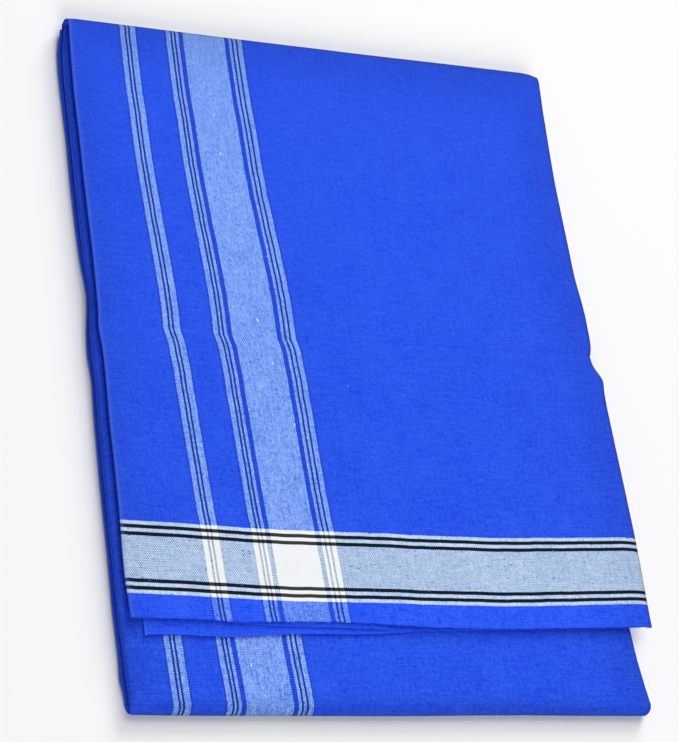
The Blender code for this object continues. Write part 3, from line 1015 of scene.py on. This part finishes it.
@dataclass
class YarnEnds:
    """The ends of the warp along a cut, one short bent yarn for each thread."""

    material: bpy.types.Material
    spacing: float = 0.55
    longest: float = 0.8
    shortest: float = 0.1
    thickness: float = 0.2
    bend: float = 0.25
    spread: float = 0.45
    stray: Triple = (1.0, 1.0, 0.6)  # how far a yarn may lean each way
    sunk: float = 0.1  # how far a yarn starts inside the cloth
    first_white: float = 3.0  # no yarn nearer the corner than this is white
    seed: int = 7

    def tree(self) -> bpy.types.NodeTree:
        """Lays a bent yarn on each point, turned to the point's own way out.

        Returns:
            The node tree.
        """
        tree = bpy.data.node_groups.new("yarn_ends", "GeometryNodeTree")
        face = tree.interface
        face.new_socket("Geometry", in_out="INPUT", socket_type="NodeSocketGeometry")
        for name in ("Shortest", "Longest", "Thickness", "Bend", "Spread"):
            face.new_socket(name, in_out="INPUT", socket_type="NodeSocketFloat")
        face.new_socket("Geometry", in_out="OUTPUT", socket_type="NodeSocketGeometry")
        desk = NodeDesk(tree)
        node = desk.node
        source = {socket.name: Wire(desk, socket) for socket in tree.nodes.new("NodeGroupInput").outputs}
        middle = node("ShaderNodeCombineXYZ", X=source["Bend"], Z=0.5 * MM)
        line = node(
            "GeometryNodeCurveQuadraticBezier", Resolution=4, Start=(0, 0, 0), Middle=middle, End=(0, 0, MM)
        )
        ring = node("GeometryNodeCurvePrimitiveCircle", Resolution=5, Radius=source["Thickness"])
        yarn = node("GeometryNodeCurveToMesh", Curve=line, Profile_Curve=ring, Fill_Caps=True)
        way = node("GeometryNodeInputNamedAttribute", Name="way_out", data_type="FLOAT_VECTOR")
        low = tuple(-most for most in self.stray)
        stray = node(
            "FunctionNodeRandomValue", Seed=self.seed, data_type="FLOAT_VECTOR", Min=low, Max=self.stray
        )
        strayed = node("ShaderNodeVectorMath", stray, source["Spread"], way, operation="MULTIPLY_ADD")
        aligned = node("FunctionNodeAlignRotationToVector", Vector=strayed, axis="Z")
        chance = node("FunctionNodeRandomValue", Seed=self.seed + 1, data_type="FLOAT", out=1)
        length = chance**3.0 * (source["Longest"] - source["Shortest"]) + source["Shortest"]
        laid = node(
            "GeometryNodeInstanceOnPoints", Points=source["Geometry"], Instance=yarn, Rotation=aligned,
            Scale=desk.point(1.0, 1.0, length),
        )
        dressed = node(
            "GeometryNodeSetMaterial", Geometry=node("GeometryNodeRealizeInstances", Geometry=laid),
            Material=self.material,
        )
        desk.plug(tree.nodes.new("NodeGroupOutput").inputs[0], dressed)
        return tree

    def make(self, name: str, panel: Panel, first: int) -> bpy.types.Object:
        """Sets yarn ends along a panel's cut.

        Args:
            name: the new piece's name.
            panel: the ply, whose first row is the cut.
            first: the column to start from.

        Returns:
            The yarn ends, as one plain mesh.
        """
        edge = panel.points[0, first:]
        way = edge - panel.points[3, first:]
        way /= np.linalg.norm(way, axis=-1, keepdims=True)
        edge = edge - ShellMaker.normals(panel.points)[0, first:] * 0.5 * panel.thickness * MM
        run = np.concatenate([[0.0], np.cumsum(np.linalg.norm(np.diff(edge, axis=0), axis=-1))]) / MM
        places = np.arange(0.5 * self.spacing, run[-1], self.spacing)
        points, ways = (
            np.stack([np.interp(places, run, values[:, axis]) for axis in range(3)], axis=-1)
            for values in (edge, way)
        )
        thread = np.interp(places, run, panel.uv[0, first:, 0] / MM)
        white = np.zeros(len(places))
        for start, end in ClothFinish.stripes:
            white[(thread >= start) & (thread < end) & (places > self.first_white)] = 1.0
        mesh = bpy.data.meshes.new(name + "_points")
        mesh.from_pydata((points - ways * self.sunk * MM).tolist(), [], [])
        mesh.attributes.new("way_out", "FLOAT_VECTOR", "POINT").data.foreach_set("vector", ways.reshape(-1))
        mesh.attributes.new(WHITE_YARN, "FLOAT", "POINT").data.foreach_set("value", white)
        source = place_object(name + "_points", mesh)
        tree = self.tree()
        modifier = source.modifiers.new("yarn", "NODES")
        modifier.node_group = tree
        sizes = {
            "Shortest": self.shortest, "Longest": self.longest, "Thickness": self.thickness / 2 * MM,
            "Bend": self.bend * MM, "Spread": self.spread,
        }
        for item in tree.interface.items_tree:
            if item.name in sizes:
                modifier[item.identifier] = sizes[item.name]
        graph = bpy.context.evaluated_depsgraph_get()
        plain = bpy.data.meshes.new_from_object(source.evaluated_get(graph))
        bpy.data.objects.remove(source)
        obj = place_object(name, plain)
        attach(obj, BODY)
        log.info("%s: %d yarns", name, len(places))
        return obj


Waver = tuple[float, int, float]  # how far an edge wavers, the seed and the period


@dataclass(frozen=True)
class FlapPly:
    """One ply of the flap, doubled at its left edge: how it is cut, laid and named."""

    name: str
    node: str  # the solid that it stands for
    flat: Couple  # width and length of its cut, in metres
    rests_on: tuple[str, ...]
    cut: Rows  # its cut end: (across, along)
    left: Rows  # its fold: (along, across)
    right: Rows  # its woven edge
    under: float  # how far the lower ply's woven edge lies inside the upper one's
    columns: Couple  # distance between columns in the upper ply and in the lower one
    ragged: int  # seed of the small unevenness of the cut end
    yarn_seed: int
    left_waver: Waver = (0.0, 0, 1.0)
    right_waver: Waver = (0.0, 0, 1.0)
    under_waver: Waver = (0.0, 0, 1.0)
    radius: float = 0.5  # of its fold
    depth: float = 0.0  # how far its outer face lies inside the flap's
    tail: float = 0.0  # length of the run into the back, past the top fold
    curl: Couple = (0.0, 0.0)  # how far the cut end lifts, at its left and at its right

    def section(self, along: Array) -> Section:
        """Its section at each of many places along the pack.

        Args:
            along: the places.

        Returns:
            The section.
        """

        def line(rows: Rows, waver: Waver) -> Array:
            """An edge that wavers."""
            return smooth_read(rows, along) + waver[0] * drift(along, *waver[1:])

        left, right = line(self.left, self.left_waver), line(self.right, self.right_waver)
        under_right = line(self.right, self.under_waver) - self.under
        return doubled_section(left, right, under_right, self.radius, *self.columns)


FLAP_PLIES = (
    FlapPly(
        "flap_cloth", "flap_face", (0.607, 0.364), ("flap_middle_cloth", "flap_second_cloth"),
        FLAP_CUT, FLAP_LEFT, FLAP_RIGHT, 5.5, (2.2, 11.0), 41, 3,
        under_waver=(1.2, 31, 160.0), radius=0.55, curl=(0.65, 0.25),
    ),
    FlapPly(
        "flap_middle_cloth", "flap_middle_layer", (0.28, 0.368), ("flap_second_cloth",),
        MIDDLE_CUT, MIDDLE_LEFT, MIDDLE_RIGHT, 4.0, (3.6, 9.0), 43, 5,
        left_waver=(0.3, 32, 90.0), right_waver=(0.4, 33, 120.0), depth=PLY_PITCH, tail=9.0,
    ),
    FlapPly(
        "flap_second_cloth", "flap_second_layer", (0.55, 0.37), ("base_cloth",),
        SECOND_CUT, SECOND_LEFT, SECOND_RIGHT, 3.0, (3.0, 11.0), 45, 9,
        left_waver=(0.3, 34, 80.0), right_waver=(0.5, 35, 140.0), depth=2 * PLY_PITCH, tail=9.0,
        curl=(0.4, 0.3),
    ),
)


@dataclass
class FrontFlap:
    """The flap: its face, which turns over the top fold, and the two layers that show under its end."""

    cloth: bpy.types.Material
    end_cloth: bpy.types.Material  # of the layers that show under the cut end: a copy with painted light
    yarn: bpy.types.Material
    spacing: float = 2.2  # between rows
    cut_rows: tuple[float, ...] = (0.0, 0.5, 1.1)  # rows at the cut, from it
    crease_rows: Triple = (202.5, 214.0, 0.6)  # rows at the old fold: start, end, spacing
    step_drop: float = 0.45  # the flap settles past the edge of its middle layer
    step_start: float = 145.7
    step_width: float = 45.0
    droop: float = 1.6  # of the right edge
    droop_width: float = 14.0
    swell: float = 0.12
    edge_width: float = 6.0  # creases and swells die away at the left edge, over this width
    edge_share: float = 0.35  # and down to this share
    fade: float = 45.0  # the cut end's bow dies away over this length
    curl_length: float = 5.0  # and its lift over this one
    curl_span: Couple = (60.0, 90.0)  # where it changes, and over what width
    fray: Rows = ((0.22, 3.7), (0.2, 11.0))  # (size, period) of the cut end's small unevenness
    recess: float = 1.4  # of the cut end inside the left fold
    nose_steps: int = 20
    nose_notches: tuple[Triple, ...] = ((0.9, 2.0, 4.0), (1.2, 304.0, 4.5))  # (size, across, width)
    corner_width: float = 40.0
    right_corner: float = 304.0
    left_dents: Rows = ((1.1, 1.15), (1.0, 2.1))  # (size, angle) of the top fold's soft left corner
    dent_width: float = 0.5  # as an angle
    left_tuck: float = 0.4  # of the corner's lower part
    left_tuck_angle: float = 2.1
    right_dent: float = 0.7
    arc: float = math.pi * 5.2  # length of cloth round the top fold
    # distances to the outline round the top fold, which set the painted shade there
    rim_angle: float = 1.108  # from the face to where the top fold is the outline, as it is seen
    rim_depth: float = 2.6  # between the two, as it is seen
    unseen_angle: float = 1.3
    unseen_away: float = 5.0  # added for each radian past that angle
    hidden_away: float = 30.0  # added to a hidden ply's distance to the outline
    hidden_shift: Couple = (250.0, 60.0)  # a hidden ply shows none of the stripes and the band

    def height(self, across: Array, along: Array) -> Array:
        """Height of the flap's face.

        Args:
            across: the points' places across the pack.
            along: and along it.

        Returns:
            The heights.
        """
        right = smooth_read(FLAP_RIGHT, along)
        step = self.step_drop * ease((across - self.step_start) / self.step_width)
        hang = self.droop * np.clip((across - right + self.droop_width) / self.droop_width, 0, 2) ** 2
        swell = self.swell * drift(across + 0.4 * along, 21, 170.0) * drift(along, 22, 130.0)
        rise = old_fold(across, along) + wrinkle_rise(FLAP_WRINKLES, across, along)
        edge = ease((across - smooth_read(FLAP_LEFT, along)) / self.edge_width)
        return FLAP_TOP - step - hang + (swell + rise) * (self.edge_share + (1 - self.edge_share) * edge)

    def rows(self) -> Array:
        """Lays out the face's rows, closer together at the cut and at the old fold.

        Returns:
            Their places along the pack.
        """
        rows = np.arange(CUT_MEAN, FOLD_START, self.spacing)[1:]
        start, end, step = self.crease_rows
        rows = rows[(rows < start - 0.5) | (rows > end)]
        cut = CUT_MEAN + np.array(self.cut_rows)
        return np.sort(np.concatenate([cut, rows, np.arange(start, end, step)]))

    def face(self, ply: FlapPly, rows: Array, section: Section) -> tuple[Array, Array, Array]:
        """A ply from its cut end up to the top fold.

        Args:
            ply: the ply.
            rows: places of its rows.
            section: its section there.

        Returns:
            Its points, their places along the cloth and their distances to the outline.
        """
        x = section.across
        fade = np.clip(1 - (rows - CUT_MEAN) / self.fade, 0, 1)[:, None]
        uneven = sum(
            size * drift(section.flat, ply.ragged + number, period)
            for number, (size, period) in enumerate(self.fray)
        )
        recess = self.recess * np.clip((section.depth - 0.3) / 0.6, 0, 1)
        y = rows[:, None] + fade * (smooth_read(ply.cut, x, 3.0) - CUT_MEAN) + fade**8 * (uneven + recess)
        lift = ply.curl[0] + (ply.curl[1] - ply.curl[0]) * ease((x - self.curl_span[0]) / self.curl_span[1])
        lift = lift * np.exp((CUT_MEAN - rows[:, None]) / self.curl_length)
        z = self.height(x, y) - section.depth - ply.depth + lift
        away = np.minimum(section.outline, FOLD_START + 2.0 - y)
        return to_frame(x, y, z), y - smooth_read(WEFT_BOW, x, 6.0), away

    def nose(self, ply: FlapPly, turns: Array, section: Section) -> tuple[Array, Array, Array]:
        """A ply round the top fold.

        Args:
            ply: the ply.
            turns: angles of its rows, 0 on the face.
            section: its section there.

        Returns:
            The same as for the face.
        """
        x, turn = section.across, turns[:, None]
        under = UNDERSIDE[-1][1]
        half = (self.height(x, np.full_like(x, FOLD_START)) - under) / 2
        reach = smooth_read(TOP_FOLD, x, 8.0) - FOLD_START
        for size, across, width in self.nose_notches:
            reach = reach - size * np.exp(-(((x - across) / width) ** 2))
        dent = sum(
            size * np.exp(-(((turn - angle) / self.dent_width) ** 2)) for size, angle in self.left_dents
        )
        tuck = self.left_tuck * ease(turn - self.left_tuck_angle)
        left_end = np.clip(1 - x / self.corner_width, 0, 1) * (dent + tuck)
        right_share = np.clip(1 - (self.right_corner - x) / self.corner_width, 0, 1)
        right_end = right_share * self.right_dent * np.sin(turn) ** 4
        normal = np.stack([np.sin(turn) * half, np.cos(turn) * reach], axis=-1)
        normal /= np.linalg.norm(normal, axis=-1, keepdims=True)
        depth = section.depth + ply.depth
        y = FOLD_START + reach * np.sin(turn) - normal[..., 0] * depth
        z = under + half * (1 + np.cos(turn)) - normal[..., 1] * depth
        away = self.rim_depth * rim_share(self.rim_angle - turn, self.rim_angle)
        away = away + self.unseen_away * np.clip(turn - self.unseen_angle, 0, 1)
        place = FOLD_START + np.linspace(0, self.arc, len(turns))[:, None] + 0 * x
        return to_frame(x - left_end - right_end, y, z), place, np.minimum(section.outline, away)

    def tail(self, ply: FlapPly, tails: Array, section: Section) -> tuple[Array, Array, Array]:
        """A ply inside the back.

        Args:
            ply: the ply.
            tails: distances of its rows from the top fold.
            section: its section there.

        Returns:
            The same as for the face.
        """
        back = FOLD_START - tails[:, None]
        z = smooth_read(UNDERSIDE, back, 2.0) + section.depth + ply.depth
        place = FOLD_START + self.arc + tails[:, None] + 0 * section.across
        return to_frame(section.across, back, z), place, section.outline

    def sweep(self, ply: FlapPly) -> Panel:
        """Lays a ply from its cut end up the pack, over the top fold and into the back.

        Args:
            ply: the ply.

        Returns:
            The ply as a grid.
        """
        rows, turns = self.rows(), np.linspace(0, math.pi, self.nose_steps)
        tails = np.linspace(0, ply.tail, 6)[1:] if ply.tail else np.zeros(0)
        along = np.concatenate([rows, np.full(len(turns) + len(tails), FOLD_START)])
        section = ply.section(along)
        first, last = len(rows), len(rows) + len(turns)
        runs = [
            self.face(ply, rows, section.rows(0, first)),
            self.nose(ply, turns, section.rows(first, last)),
            self.tail(ply, tails, section.rows(last, len(along))),
        ]
        points, place, away = (np.concatenate(values) for values in zip(*runs))
        shift = smooth_read(STRIPES_SHIFT, along, 1.0)[:, None]
        spread = 1 + smooth_read(STRIPES_SPREAD, along, 5.0)[:, None]
        u = SPREAD_MIDDLE + (section.flat - shift - STRIPES_START - SPREAD_MIDDLE) / spread
        hidden = float(ply.depth > 0)
        aside, up = self.hidden_shift
        uv = np.stack([u + hidden * aside, place + hidden * up], axis=-1) * MM
        return Panel(points, uv, section.pale, away + hidden * self.hidden_away)

    def build(self) -> None:
        """Builds the flap's three pieces, with the yarn ends along their cuts, hangs them on the body and
        hides the solids that they stand for.
        """
        panels = [self.sweep(ply) for ply in FLAP_PLIES]
        for ply, panel in zip(FLAP_PLIES, panels):
            maker = ShellMaker(ply.name, self.end_cloth if ply.depth else self.cloth)
            maker.add(panel)
            piece = maker.make()
            fold = int(np.argmin(panel.points[0, :, 0]))
            ends_name = ply.name.replace("cloth", "yarn_ends")
            ends = YarnEnds(self.yarn, seed=ply.yarn_seed).make(ends_name, panel, fold)
            declare(piece, ply.node, ply.flat, ply.rests_on)


@dataclass
class Bundles:
    """The two bundles under the flap: the base, which turns up at the bottom fold, and the back."""

    cloth: bpy.types.Material
    groove_half: float = 0.6
    pinch: float = 1.0  # of the bottom fold, which is round at 1 and sharper above
    corner: float = 1.5
    bend_rows: int = 22
    bend_cloth: float = 5.2  # length of cloth in the bottom fold for each radian
    base_end: float = 392.0
    base_place: float = 460.0  # down the cloth from the flap's cut end
    back_place: float = 470.0
    bunch: float = 0.7  # how far the stripes move together at the bottom fold
    bunch_rows: Couple = (34.0, 22.0)  # up to where, and over what length
    bunch_stripes: Couple = (9.0, 19.0)  # from where across the stripes, and over what width
    pillow: float = 0.5  # how far the base's face falls towards its sides
    pillow_width: float = 16.0
    # distances to the outline round the bottom fold, which set the painted shade there
    rim_angle: float = 1.94  # from the middle of the bottom fold to where it becomes flat, as it is seen
    rim_depths: Couple = (10.0, 8.0)  # between the two, as it is seen: all the way, and close to the face
    rim_climb: float = 3.0  # added for each mm up the face
    rim_corner: Couple = (3.0, 7.0)  # least distance at the left corner, and the corner's width
    unseen_angle: float = 2.15
    unseen_away: float = 5.0  # added for each radian past that angle
    waver: float = 0.04  # of a side fold's radius, as a share
    flat_span: Couple = (12.0, 288.0)  # the underside's wrinkles lie between these places
    flat_fade: float = 20.0
    tucks: Couple = (75.0, 60.0)  # how far the left and right folds curl under, in degrees
    plies: tuple[float, ...] = (0.0, 0.55)  # depths of the plies that show at the sides

    @staticmethod
    def rows(start: float, end: float, fine_until: float) -> Array:
        """Places along the pack, close together up to fine_until."""
        return np.concatenate([np.arange(start, fine_until, 1.8), np.arange(fine_until, end, 4.0), [end]])

    @staticmethod
    def flats(inset: float) -> Array:
        """Where a face has its columns: fewer in a ply that is hidden but for its sides."""
        return np.linspace(0, 1, 30 if inset else 142)[1:-1]

    def upper_section(self, along: Array, inset: float, bend: Array) -> Section:
        """The base's section: the left fold curls right round, the right one shows the plies under it.

        Args:
            along: places along the pack.
            inset: how deep the ply lies.
            bend: how far each row lies in the bottom fold, from 0 to 1.

        Returns:
            The section.
        """
        low = smooth_read(GROOVE, along) + self.groove_half
        radius = (BASE_TOP - low) / 2 * (1 + self.waver * drift(along, 51, 60.0)) - inset
        left = smooth_read(UPPER_LEFT, along) + inset + 0.6 * self.corner * bend
        right = smooth_read(UPPER_RIGHT, along) - inset - self.corner * bend
        seams = {Side.LEFT: smooth_read(UPPER_SEAM, along), Side.RIGHT: 20.0 + 12 * drift(along, 53, 140.0)}
        return tucked_section(left, right, radius, self.tucks, self.flats(inset), seams)

    def lower_section(self, along: Array, inset: float) -> Section:
        """The back's section.

        Args:
            along: places along the pack.
            inset: how deep the ply lies.

        Returns:
            The section.
        """
        high = smooth_read(GROOVE, along) - self.groove_half
        radius = (high - smooth_read(UNDERSIDE, along)) / 2
        radius = radius * (1 + self.waver * drift(along, 52, 50.0)) - inset
        left = smooth_read(LOWER_LEFT, along, 1.2) + inset
        right = smooth_read(LOWER_RIGHT, along) - inset
        seams = {Side.LEFT: smooth_read(LOWER_SEAM, along), Side.RIGHT: 30.0 + 12 * drift(along, 54, 120.0)}
        return tucked_section(left, right, radius, self.tucks, self.flats(inset), seams)

    def base_away(self, section: Section, turns: Array, climbs: Array) -> Array:
        """How far the base's points lie from the pack's outline, which sets their painted shade.

        Args:
            section: the base's section.
            turns: angles of the rows in the bottom fold.
            climbs: how far the other rows lie from the fold.

        Returns:
            The distances.
        """
        share = rim_share(self.rim_angle - turns, self.rim_angle)
        slow, late = self.rim_depths
        below = slow * share + late * share**4 + self.unseen_away * np.clip(turns - self.unseen_angle, 0, 1)
        below = np.concatenate([below, slow + late + self.rim_climb * climbs])[:, None]
        least, width = self.rim_corner
        corner = least * np.clip(1 - section.across / width, 0, 1)
        return np.maximum(np.minimum(section.outline, below), corner)

    def base_panel(self, inset: float) -> Panel:
        """Lays one ply of the base, round the bottom fold from underneath and up the face.

        Args:
            inset: how deep the ply lies.

        Returns:
            The ply as a grid.
        """
        radius = BASE_TOP / 2
        turns = np.linspace(math.pi, 0, self.bend_rows)[:-1]
        rows = self.rows(radius, self.base_end - 3 * inset, 50.0)
        along = np.concatenate([np.full(len(turns), radius), rows])
        section = self.upper_section(along, inset, np.concatenate([np.sin(turns) ** 4, np.zeros(len(rows))]))
        bend, face = section.rows(0, len(turns)), section.rows(len(turns), len(along))
        turn = turns[:, None]
        reach = smooth_read(BOTTOM_FOLD, bend.across) - inset - 0.3 * bend.depth
        bend_y = radius - reach * np.sin(turn) ** self.pinch
        rise = np.sign(np.cos(turn)) * np.abs(np.cos(turn)) ** self.pinch
        bend_z = radius + (radius - bend.depth - inset) * rise
        x = face.across
        y = rows[:, None] + 0 * x
        nearest = np.minimum(x - smooth_read(UPPER_LEFT, y), smooth_read(UPPER_RIGHT, y) - x)
        settled = self.pillow * np.clip(1 - nearest / self.pillow_width, 0, 1) ** 2
        z = BASE_TOP + old_fold(x, y) + wrinkle_rise(BASE_WRINKLES, x, y) - settled - face.depth - inset
        points = np.concatenate([to_frame(bend.across, bend_y, bend_z), to_frame(x, y, z)])
        place = np.concatenate([-(math.pi - turns)[::-1] * self.bend_cloth, rows])
        u = section.flat - np.interp(place, *zip(*BASE_SHIFT))[:, None] - STRIPES_START
        (end, length), (start, width) = self.bunch_rows, self.bunch_stripes
        u = u - self.bunch * np.clip((end - along[:, None]) / length, 0, 1) * ease((u - start) / width)
        uv = np.stack([u, place[:, None] + 0 * u - self.base_place], axis=-1) * MM
        return Panel(points, uv, section.pale, self.base_away(section, turns, rows - radius))

    def back_panel(self, inset: float) -> Panel:
        """Lays one ply of the back, flat on the table with its side folds turned up.

        Args:
            inset: how deep the ply lies.

        Returns:
            The ply as a grid.
        """
        along = self.rows(BASE_TOP / 2, FOLD_START, 26.0)
        section = self.lower_section(along, inset)
        x, flat, depth, away = (
            value[:, ::-1] for value in (section.across, section.flat, section.depth, section.outline)
        )
        y = along[:, None] + 0 * x
        under = smooth_read(UNDERSIDE, along, 2.0)[:, None]
        start, end = self.flat_span
        flat_part = np.clip(1 - depth / 0.5, 0, 1) * ease((x - start) / self.flat_fade)
        flat_part = flat_part * ease((end - x) / self.flat_fade)
        z = under + depth + inset + np.clip(wrinkle_rise(BACK_WRINKLES, x, y), 0, 1) * flat_part
        u = flat - np.interp(along, *zip(*BACK_SHIFT))[:, None] - STRIPES_START
        uv = np.stack([u, -y - self.back_place], axis=-1) * MM
        return Panel(to_frame(x, y, z), uv, section.pale, np.maximum(away, 3.0))

    def build(self) -> None:
        """Builds the base and the back, hangs them on the body and hides the solids that they stand for."""
        base = ShellMaker("base_cloth", self.cloth)
        back = ShellMaker("back_cloth", self.cloth)
        for inset in self.plies:
            base.add(self.base_panel(inset))
            back.add(self.back_panel(inset))
        pieces = [base.make(), back.make()]
        declare(pieces[0], "base_face", (0.62, 0.40), ["back_cloth", "inner_plies"])
        declare(pieces[1], "back_panel", (0.61, 0.388), [])


@dataclass
class InnerPlies:
    """The plies inside, as one rounded form whose sides are layered."""

    cloth: bpy.types.Material
    leaves: int = 5  # in each bundle
    deep: float = 2.0  # from a side fold's outermost line to the bottom of a gap between leaves
    proud: float = 1.4  # and to a leaf
    uneven: float = 0.35  # of the leaves
    leaf_span: Couple = (0.12, 0.88)  # where a leaf starts and ends, as a share of its room
    start: float = 2.5
    end: float = 385.0
    spacing: float = 3.0
    end_height: float = 0.45  # share of the height that is left at both ends
    columns: int = 12

    def side(
        self, along: Array, bottom: Array, top: Array, edge: Array, inward: float, seed: int
    ) -> list[Array]:
        """Points up one side, with a leaf for each ply.

        Args:
            along: places along the pack.
            bottom: lower end of the side at each place.
            top: upper end.
            edge: the side fold's outermost line.
            inward: 1 on the left and -1 on the right.
            seed: of the small unevenness of the leaves.

        Returns:
            A line of (across, height) points for each corner of a leaf.
        """
        lines = []
        for leaf in range(self.leaves):
            low, high = (bottom + (top - bottom) * (leaf + share) / self.leaves for share in self.leaf_span)
            tip = self.proud + self.uneven * drift(along, seed + leaf, 70.0)
            heights = (low, (2 * low + high) / 3, (low + 2 * high) / 3, high)
            for height, inset in zip(heights, (self.deep, tip, tip, self.deep)):
                lines.append(np.stack([edge + inward * inset, height], axis=-1))
        return lines

    def face(self, left: Array, right: Array, height: Array, shares: Array) -> list[Array]:
        """Points across the top or the bottom."""
        width = right - left - 2 * self.deep
        return [np.stack([left + self.deep + width * share, height], axis=-1) for share in shares]

    def build(self) -> None:
        """Builds the form, hangs it on the body and hides the solid that it stands for."""
        along = np.append(np.arange(self.start, self.end, self.spacing), self.end)
        bottom = smooth_read(UNDERSIDE, along) + PLY_PITCH
        top = np.full_like(along, BASE_TOP - PLY_PITCH) + old_fold(np.full_like(along, 30.0), along)
        round_ends = np.minimum(ease((along - self.start + 1.0) / 4.0), ease((self.end + 1.0 - along) / 3.0))
        height = self.end_height + (1 - self.end_height) * round_ends
        middle = (bottom + top) / 2
        bottom, top = middle + (bottom - middle) * height, middle + (top - middle) * height
        groove = np.clip(smooth_read(GROOVE, along), bottom + 0.5, top - 0.5)
        left_low, left_up = (smooth_read(rows, along) for rows in (LOWER_LEFT, UPPER_LEFT))
        right_low, right_up = (smooth_read(rows, along) for rows in (LOWER_RIGHT, UPPER_RIGHT))
        shares = np.linspace(0.03, 0.97, self.columns)
        lines = self.side(along, bottom, groove, left_low, 1.0, 61)
        lines += self.side(along, groove, top, left_up, 1.0, 71)
        lines += self.face(left_up, right_up, top, shares)
        lines += self.side(along, groove, top, right_up, -1.0, 81)[::-1]
        lines += self.side(along, bottom, groove, right_low, -1.0, 91)[::-1]
        lines += self.face(left_low, right_low, bottom, shares[::-1])
        x, z = np.moveaxis(np.stack(lines, axis=1), -1, 0)
        y = along[:, None] + 0 * x
        index = np.arange(x.size).reshape(x.shape)
        after = np.roll(index, -1, axis=1)
        quads = np.stack([index[:-1], after[:-1], after[1:], index[1:]], axis=-1).reshape(-1, 4)
        faces = quads.tolist() + [index[0][::-1].tolist(), index[-1].tolist()]
        uv = np.stack([x + z + 250.0, y - 460.0], axis=-1).reshape(-1, 2) * MM
        points = to_frame(x, y, z).reshape(-1, 3)
        pale, outline = np.zeros(x.size), np.full(x.size, 4.0)
        piece = cloth_object("inner_plies", self.cloth, points, faces, uv, pale, outline)
        declare(piece, "hidden_layers", (0.30, 0.385), ["back_cloth"])


class Lamp(NamedTuple):
    """A square soft light that points at the frame's origin."""

    name: str
    place: Triple
    size: float
    power: float


LAMPS = (
    Lamp("key", (0.2, 0.6, 2.05), 1.35, 18.6),
    Lamp("back", (1.75, 3.25, 2.35), 2.0, 115.0),
    Lamp("front", (-0.25, -2.4, 1.6), 1.4, 42.0),
)


@dataclass
class Studio:
    """Floor, light and camera."""

    sky: float = 0.15
    floor_half: float = 4.0
    floor_height: float = -0.0001
    lens_length: float = 79.80
    camera_place: Triple = (-0.43315, -0.34731, 1.09038)  # from the plan's corner
    camera_heading: float = 43.1736  # degrees from +X towards +Y
    camera_dip: float = 53.9198  # degrees below level
    camera_roll: float = 44.476  # degrees round its own axis

    def floor(self) -> None:
        """A wide pale floor just under the pack."""
        mesh = bpy.data.meshes.new("floor")
        corners = ((-1, -1), (1, -1), (1, 1), (-1, 1))
        half = self.floor_half
        mesh.from_pydata([(x * half, y * half, self.floor_height) for x, y in corners], [], [(0, 1, 2, 3)])
        mesh.materials.append(FloorFinish().make())
        place_object("floor", mesh)

    def lights(self) -> None:
        """A wide key nearly overhead, lower lights from behind and from the front, and a dim even sky."""
        for lamp in LAMPS:
            light = bpy.data.lights.new(lamp.name, "AREA")
            light.shape, light.size, light.energy = "SQUARE", lamp.size, lamp.power
            obj = place_object(lamp.name, light)
            obj.location = lamp.place
            obj.rotation_euler = (-Vector(lamp.place)).to_track_quat("-Z", "Y").to_euler()
        world = bpy.data.worlds.new("sky")
        world.use_nodes = True
        sky = world.node_tree.nodes["Background"]
        sky.inputs["Color"].default_value = (1.0, 1.0, 1.0, 1.0)
        sky.inputs["Strength"].default_value = self.sky
        bpy.context.scene.world = world

    def camera(self) -> None:
        """A long lens that looks down on the pack from its lower left, turned on its axis."""
        lens = bpy.data.cameras.new("camera")
        lens.sensor_fit, lens.sensor_height, lens.lens = "VERTICAL", 24.0, self.lens_length
        obj = place_object("camera", lens)
        turn = Matrix.Rotation(math.radians(self.camera_heading - 90), 4, "Z")
        turn = turn @ Matrix.Rotation(math.radians(90 - self.camera_dip), 4, "X")
        turn = turn @ Matrix.Rotation(math.radians(self.camera_roll), 4, "Z")
        corner = Vector((*ORIGIN, 0.0)) * MM
        obj.matrix_world = Matrix.Translation(Vector(self.camera_place) - corner) @ turn
        bpy.context.scene.camera = obj

    def build(self) -> None:
        """Sets up the whole studio."""
        self.floor()
        self.lights()
        self.camera()
        bpy.context.scene.view_settings.view_transform = "Standard"
        bpy.context.scene.cycles.denoising_prefilter = "NONE"  # keeps single threads


def main() -> None:
    """Builds the studio, then the pack piece by piece."""
    logging.basicConfig(level=logging.INFO, format="%(name)s: %(message)s")
    Studio().build()
    cloth = ClothFinish().make()
    InnerPlies(cloth).build()
    Bundles(cloth).build()
    # a lighter copy of the cloth, painted light on the plies under the cut end
    end_cloth = ClothFinish(name="striped_cotton_end", light=1.14).make()
    FrontFlap(cloth, end_cloth, YarnFinish().make()).build()


if __name__ == "__main__":
    main()
